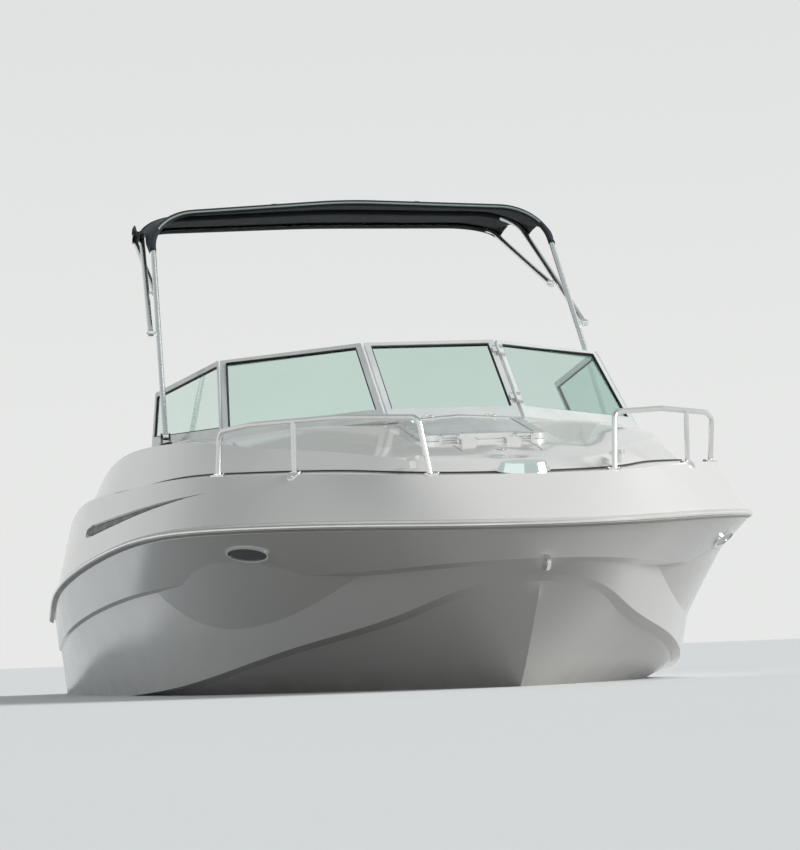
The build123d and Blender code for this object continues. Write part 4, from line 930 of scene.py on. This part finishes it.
def make_binding(name, rows):
    """Binding along the side hems and two felled seams that run fore and aft."""
    shape = Shape()
    for column in SEAMS:
        path = [row[column] for row in rows]
        inner = column + 1 if column < CANVAS_ACROSS - 1 else column - 1
        normals = []
        for i, row in enumerate(rows):
            ahead = rows[min(i + 1, len(rows) - 1)][column] - rows[max(i - 1, 0)][column]
            normal = ahead.cross(row[inner] - row[column]).normalized()
            outward = normal.dot(row[column] - Vector((row[column].x, 0, 1.6))) > 0
            normals.append(normal if outward else -normal)
        ribbon(shape, path, normals, 0.022, 0.0006)
    return shape.piece(name, "webbing", None, "canvas")


def make_top():
    """The top in two lengths that meet in a seam over the main bow.

    A pale welt lies along the front edge, and the main bow runs through a pocket under the cloth.
    """
    rows, over_main = canvas_rows()
    welt, seam, pocket = Shape(), Shape(), Shape()
    edge = [p + (p - q).normalized() * 0.0012 for p, q in zip(rows[4], rows[0])]
    welt.tube(edge[6:-6], 0.0042, sides=8)
    welt = welt.piece("front_edge_cord", "edge_cord", "front_bow", "canvas")
    main = bow_row("main")
    ribbon(seam, rows[over_main], [normal for _, normal, _ in main], 0.030, 0.0004)
    seam = seam.piece("main_bow_seam", "webbing", "main_bow", "canvas")
    pocket.tube([point for point, _, _ in main[9:-9]], BOW_TUBE + 0.0009, sides=20)
    pocket.piece("main_bow_sleeve", "canvas", "main_bow", "canvas")
    middle, wrapped = CANVAS_ACROSS // 2, len(ROUND_BOW)
    for name, fore_bow, aft_bow, part, trimmed, extra in (
        ("fore", "front", "main", rows[:over_main + 1], rows[wrapped:over_main + 1], welt),
        ("aft", "main", "rear", rows[over_main:], rows[over_main:-wrapped], seam),
    ):
        sheet = make_panel(f"top_canvas_{name}", part)
        binding = make_binding(f"top_binding_{name}", trimmed)
        for made in (sheet, binding):
            bend_between(made, fore_bow, aft_bow)


# Trim laid on the deck

ABOVE_ALL = 1.6         # above the deck and the lids that rays are dropped on


def surface(node):
    """A node's mesh, ready for rays."""
    mesh = nodes[node].data
    return BVHTree.FromPolygons([v.co.copy() for v in mesh.vertices], [p.vertices[:] for p in mesh.polygons])


def drop(tree, x, y):
    """The highest point of a surface at a place, and its normal."""
    at, normal, _, _ = tree.ray_cast(Vector((x, y, ABOVE_ALL)), Vector((0, 0, -1)))
    return at, normal if normal.z > 0 else -normal


def mirrored(point, side):
    return Vector((point.x, side * point.y, point.z))


def height_at(table, x):
    """The height between the entries of a table of (x, height) pairs."""
    for (x0, v0), (x1, v1) in zip(table, table[1:]):
        if x0 <= x <= x1:
            return v0 + (v1 - v0) * (x - x0) / (x1 - x0)
    return table[-1][1]


# Rough line of the trunk's foot on the port side. The dark bead, painted shade of the crease, follows the crease
# of the deck's mesh near it
TRUNK_FOOT = [Vector(p) for p in (
    (-1.75, 1.100, 0.815), (-1.25, 1.110, 0.875), (-0.75, 1.114, 0.902), (0.20, 1.100, 0.902),
    (0.90, 1.070, 0.905), (1.50, 1.000, 0.899), (1.95, 0.880, 0.884), (2.53, 0.575, 0.856),
    (2.75, 0.455, 0.842), (2.88, 0.310, 0.826), (2.95, 0.0, 0.818))]
CREASE_REACH, CREASE_RISE = 0.052, 0.022
CREASE_ANGLE = -0.25    # radians, and negative as it is a hollow edge


def near_foot(point):
    """Whether a point of the deck lies by the rough line of the trunk's foot."""
    for a, b in zip(TRUNK_FOOT, TRUNK_FOOT[1:]):
        share = min(1, max(0, (point - a).dot(b - a) / (b - a).length_squared))
        miss = point - a.lerp(b, share)
        if hypot(miss.x, miss.y) < CREASE_REACH and abs(miss.z) < CREASE_RISE:
            return True
    return False


def trunk_crease():
    """Points along the crease where the trunk meets the deck, from the port quarter round the bow."""
    mesh = bmesh.new()
    mesh.from_mesh(nodes["deck"].data)
    bmesh.ops.remove_doubles(mesh, verts=mesh.verts, dist=0.00002)
    found = []
    for edge in mesh.edges:
        if len(edge.link_faces) == 2 and edge.calc_face_angle_signed() < CREASE_ANGLE:
            found += [v.co.copy() for v in edge.verts if v.co.y >= 0 and near_foot(v.co)]
    mesh.free()
    found.sort(key=lambda p: p.x - p.y)
    line = found[:1]
    for point in found[1:]:
        if (point - line[-1]).length > 0.012:
            line.append(point)
    return line + [mirrored(p, -1) for p in line[::-1] if p.y > 0.006]


def make_trunk_shade_bead():
    """A slim dark bead round the foot of the trunk: painted shade of the shadow in the crease where the trunk
    meets the deck.
    """
    shape = Shape()
    shape.tube(resample(trunk_crease(), 400), 0.0058, sides=10)
    shape.piece("trunk_foot_shade_bead", "rubber", "boat", "black_plastic")


# Lower and upper edge of the styling groove, as heights along the boat
GROOVE_LOW = ((-0.60, 0.728), (-0.48, 0.722), (1.40, 0.788), (1.90, 0.806))
GROOVE_HIGH = ((-0.60, 0.746), (-0.48, 0.764), (1.50, 0.794), (1.90, 0.8065))
GROOVE_AFT, GROOVE_LONG = -0.60, 2.30


def make_groove_inlays(deck):
    """A dark strip in the floor of each styling groove."""
    shape = Shape()
    steps = 90
    for side in (-1, 1):
        rows = []
        for i in range(steps + 1):
            x = GROOVE_AFT + GROOVE_LONG * i / steps
            low, high = height_at(GROOVE_LOW, x), height_at(GROOVE_HIGH, x)
            row = []
            for share in (0.0, 0.25, 0.5, 0.75, 1.0):
                start = Vector((x, side * 1.8, low + (high - low) * share))
                at, _, _, _ = deck.ray_cast(start, Vector((0, -side, 0)))
                row.append(at + Vector((0, side * 0.0012, 0)))
            rows.append(row)
        shape.strip(rows)
    thicken(shape.piece("groove_inlays", "black", "boat", "black_plastic", smooth=180), 0.001, 0)


# Windshield: corners of the panes on the port side, as in the CAD
FRAME_WIDE = 0.024
BASE_CENTRE, BASE_CORNER, BASE_END = (Vector(p) for p in (
    (1.720, 0.285, 1.118), (1.250, 0.875, 1.080), (-0.150, 0.968, 1.118)))
TOP_CENTRE, TOP_CORNER, TOP_END = (Vector(p) for p in (
    (1.280, 0.285, 1.435), (0.860, 0.815, 1.410), (-0.330, 0.919, 1.350)))
GATE_GAP = 0.010


def inset_loop(corners, inset):
    """The corners of a flat outline, moved inwards in its own plane."""
    made = []
    for i, corner in enumerate(corners):
        into = (corners[i - 1] - corner).normalized()
        out = (corners[(i + 1) % len(corners)] - corner).normalized()
        half = into.angle(out) / 2
        made.append(corner + (into + out).normalized() * inset / sin(half))
    return made


def edge_points(corners):
    """Points every 30 mm or so round an outline."""
    path = []
    for a, b in zip(corners, [*corners[1:], corners[0]]):
        count = max(2, round((b - a).length / 0.03))
        path += [a.lerp(b, i / count) for i in range(count)]
    return path


def gasket(shape, corners):
    """A rubber bead on both faces of a pane, just inside its frame."""
    normal = (corners[1] - corners[0]).cross(corners[3] - corners[0]).normalized()
    loop = edge_points(inset_loop(corners, FRAME_WIDE + 0.0025))
    for side in (-1, 1):
        shape.tube([p + normal * side * 0.0042 for p in loop], 0.0034, sides=8, closed=True)


def make_gaskets():
    shape = Shape()
    for side in (-1, 1):
        for corners in ((BASE_CENTRE, BASE_CORNER, TOP_CORNER, TOP_CENTRE),
                        (BASE_CORNER, BASE_END, TOP_END, TOP_CORNER)):
            gasket(shape, [mirrored(p, side) for p in corners])
    shape.piece("windshield_gaskets", "rubber", "boat", "black_plastic")
    shape = Shape()
    gap = Vector((0, GATE_GAP, 0))
    gasket(shape, [mirrored(BASE_CENTRE - gap, -1), BASE_CENTRE - gap, TOP_CENTRE - gap,
                   mirrored(TOP_CENTRE - gap, -1)])
    shape.piece("gate_gasket", "rubber", "opening_pane", "black_plastic")


# Helm: gauges on the upper dash, switches and key on the face below, hub and grips on the wheel
HELM_Y = -0.560
DASH_TOP, DASH_KNEE, DASH_FOOT = (Vector((x, HELM_Y, z)) for x, z in (
    (0.620, 1.074), (0.455, 0.985), (0.375, 0.765)))


def dash_frame(high, low):
    """A matrix in the middle of one face of the dash: X to port, Y up the face, Z out of it."""
    up = (high - low).normalized()
    out = Vector((0, -1, 0)).cross(up)
    if out.x > 0:
        out = -out
    return turned((high + low) / 2, out.cross(up) * -1, out)


def gauge(shapes, place, radius):
    """A dial with a bezel, marks all round, and a needle."""
    black, white, bright = shapes
    black.lathe(*stand(place), ((radius, 0.0005), (radius, 0.004), (0.001, 0.004)), steps=40)
    bright.lathe(*stand(place), ((radius + 0.005, 0.0), (radius + 0.005, 0.007), (radius + 0.002, 0.010),
                                 (radius - 0.001, 0.009), (radius - 0.002, 0.0045), (radius - 0.002, 0.0)),
                 steps=40)
    for number in range(21):
        wide, long = (0.0016, 0.16) if number % 5 == 0 else (0.0009, 0.09)
        spot = place @ Matrix.Rotation(radians(135 - 13.5 * number), 4, "Z")
        white.block(moved(spot, 0, radius * (0.90 - long / 2), 0.0045), (wide, radius * long, 0.0006), 0.0001)
    needle = moved(place @ Matrix.Rotation(radians(100), 4, "Z"), 0, radius * 0.32, 0.0060)
    bright.block(needle, (0.0018, radius * 0.72, 0.0008), 0.0002)
    black.lathe(*stand(place), ((radius * 0.12, 0.004), (radius * 0.12, 0.0075), (0.001, 0.0085)), steps=20)


def make_helm():
    """Five gauges on the upper dash, and below them two panels of switches and the key."""
    black, white, bright, plate = Shape(), Shape(), Shape(), Shape()
    panel_thick = 0.003
    upper, lower = dash_frame(DASH_TOP, DASH_KNEE), dash_frame(DASH_KNEE, DASH_FOOT)
    plate.block(moved(upper, 0, 0, panel_thick / 2), (0.56, 0.150, panel_thick), 0.001)
    for offset, radius in ((-0.085, 0.042), (0.030, 0.042), (0.125, 0.027), (0.200, 0.027), (-0.185, 0.027)):
        gauge((black, white, bright), moved(upper, offset, 0.0, panel_thick), radius)
    for side in (-1, 1):
        panel = moved(lower, side * 0.225, 0.045, panel_thick / 2)
        plate.block(panel, (0.105, 0.110, panel_thick), 0.001)
        for row in (-1, 1):
            for column in (-1, 0, 1):
                switch = moved(panel, column * 0.030, row * 0.026, 0.0045)
                black.block(switch, (0.017, 0.036, 0.007), 0.002)
                white.block(moved(switch, 0, 0.010, 0.0037), (0.003, 0.003, 0.0006), 0.0001)
    key = moved(lower, 0.225, -0.045, 0.0)
    bright.lathe(*stand(key), ((0.016, 0.0), (0.016, 0.004), (0.010, 0.008), (0.002, 0.008)), steps=28)
    black.block(moved(key, 0, 0, 0.016), (0.003, 0.022, 0.018), 0.001)
    for x in (-0.270, 0.270):
        for y in (-0.066, 0.066):
            bright.screw(*stand(moved(upper, x, y, panel_thick)), 0.0032)
    plate.piece("dash_panels", "dash", "boat", "black_plastic")
    black.piece("dials_and_switches", "dial", "boat", "black_plastic")
    white.piece("dial_marks", "dial_mark", "boat", "black_plastic")
    bright.steel("dial_bezels", "boat")


def make_wheel_trim():
    """A domed hub cap and six leather grips on the rim."""
    up = (DASH_KNEE - DASH_FOOT).normalized()
    axis = Vector((-up.z, 0, up.x))
    centre = (DASH_KNEE + DASH_FOOT) / 2 + axis * 0.095
    hub = Shape()
    hub.lathe(centre, axis, ((0.034, -0.012), (0.036, -0.004), (0.034, 0.002), (0.026, 0.007), (0.012, 0.0095),
                             (0.001, 0.010)), steps=36)
    hub.steel("wheel_hub_cap", "helm_wheel")
    rim_radius, grip_radius = 0.178, 0.0152
    across = Vector((0, 1, 0))
    along = axis.cross(across)
    grips = Shape()
    for start in range(15, 360, 60):
        turns = [radians(start + i * 2.5) for i in range(13)]
        grips.tube([centre + (across * cos(turn) + along * sin(turn)) * rim_radius for turn in turns],
                   grip_radius, sides=16)
    grips.piece("wheel_grips", "leather", "helm_wheel", "black_plastic")


# Small hardware. Screws of the rails and of the top's feet: place, height over the deck and head radius
RAIL_FEET = ((2.985, 0.355), (2.440, 0.790), (1.950, 1.015))
FOOT_SCREWS = [(x + 0.022 * cos(radians(turn)), y + 0.022 * sin(radians(turn)), 0.0075, 0.0038)
               for x, y in RAIL_FEET for turn in (30, 150, 270)]
FOOT_SCREWS += [(0.360 + along, 0.990 + out, 0.0072, 0.0036)
                for along in (-0.038, 0.038) for out in (-0.014, 0.014)]
CLEAT_SCREWS = ((2.860, 0.400, 0.892), (-2.500, 1.070, 0.746))
ENGINE_LID_TOP = 0.6405
# Drains in the cockpit's sole and aft wall: place and direction
DRAINS = (((-1.40, -0.780, 0.2005), (0, 0, 1)), ((-2.582, 0.60, 0.245), (1, 0, 0)))
LADDER_HINGE = -3.172


def lift_ring(shape, place, radius):
    """A flush lift ring in its cup."""
    shape.lathe(*stand(place), ((radius, -0.001), (radius, 0.0018), (radius * 0.9, 0.0028),
                                (radius * 0.78, 0.0022), (radius * 0.72, 0.0006), (0.001, 0.0006)), steps=36)
    loop = [place @ Vector((x, y, 0.003)) for x, y in circle(radius * 0.58, 24)]
    shape.tube(loop, 0.0022, sides=8, closed=True)
    shape.block(moved(place, 0, radius * 0.58, 0.0032), (0.012, 0.006, 0.004), 0.001)


def make_hardware(deck):
    """Lift rings, catches, the cabin door's finger cup, screws and drains."""
    ring, rings, catches, latch, cup, screws, drains = (Shape() for _ in range(7))
    at, normal = drop(surface("anchor_locker_lid"), 2.610, 0.0)
    lift_ring(ring, turned(at, (0, 1, 0), normal), 0.024)
    ring.steel("locker_lid_ring", "locker_lid")
    for y in (-0.62, 0.14):
        lift_ring(rings, shift(-2.010, y, ENGINE_LID_TOP), 0.022)
    rings.steel("engine_lid_rings", "engine_lid")
    for y in (-0.13, 0.13):
        at, normal = drop(surface("deck_hatch_frame"), 1.836, y)
        catches.block(turned(at + normal * 0.004, (0, 1, 0), normal), (0.046, 0.018, 0.008), 0.003)
        catches.screw(at + normal * 0.008, normal, 0.004)
    catches.steel("hatch_catches", "foredeck_hatch")
    lift_ring(latch, turned((-2.5825, 0.545, 0.520), (0, 1, 0), (1, 0, 0)), 0.024)
    latch.steel("walkway_door_latch", "walkway_door")
    cup.lathe((0.747, 0.205, 0.630), (-1, 0, 0), ((0.032, -0.001), (0.032, 0.0012), (0.029, 0.0020),
                                                 (0.025, 0.0014), (0.023, 0.0003), (0.001, 0.0003)), steps=40)
    cup.steel("cabin_door_pull", "cabin_door")
    for side in (-1, 1):
        for x, y, lift, radius in FOOT_SCREWS:
            at, normal = drop(deck, x, side * y)
            screws.screw(at + normal * lift, normal, radius)
        for x, y, top in CLEAT_SCREWS:
            for reach in (-0.028, 0.028):
                screws.screw((x + reach, side * y, top), (0, 0, 1), 0.0038)
    screws.steel("deck_screws", "boat")
    for at, axis in DRAINS:
        drains.lathe(at, axis, ((0.030, -0.001), (0.030, 0.002), (0.026, 0.0035), (0.022, 0.003),
                                (0.001, 0.0022)), steps=32)
    drains.steel("cockpit_drains", "boat")


def make_ladder_treads():
    """Ribbed rubber pads on the three steps of the folded ladder."""
    shape = Shape()
    for step in (0.060, 0.230, 0.400):
        tread = shift(LADDER_HINGE + step, 0.560, 0.4245)
        shape.block(tread, (0.034, 0.250, 0.0030), 0.001)
        for rib in range(-2, 3):
            shape.block(moved(tread, rib * 0.0068, 0, 0.0020), (0.0028, 0.244, 0.0030), 0.0008)
    shape.piece("ladder_treads", "rubber", "ladder", "black_plastic")


def make_drive_details():
    """The propeller's nut and the bolts of the transom shield."""
    nut, bolts = Shape(), Shape()
    nut.lathe((-3.1775, 0, -0.560), (-1, 0, 0), ((0.030, -0.002), (0.030, 0.004), (0.022, 0.006),
                                                (0.022, 0.018), (0.016, 0.026), (0.001, 0.030)), steps=24)
    nut.steel("propeller_nut", "screw")
    for y in (-0.130, 0.130):
        for z in (-0.120, 0.020, 0.160):
            bolts.lathe((-2.698, y, z), (-1, 0, 0), ((0.011, 0.0), (0.011, 0.006), (0.009, 0.008),
                                                     (0.001, 0.008)), steps=6)
    bolts.steel("shield_bolts", "boat")


# The order of work


make_camera()
make_light()
make_floor()
finish_nodes()
deck_surface = surface("deck")
make_trunk_shade_bead()
make_groove_inlays(deck_surface)
make_gaskets()
make_helm()
make_wheel_trim()
make_hardware(deck_surface)
make_ladder_treads()
make_drive_details()
make_upholstery()
make_top()
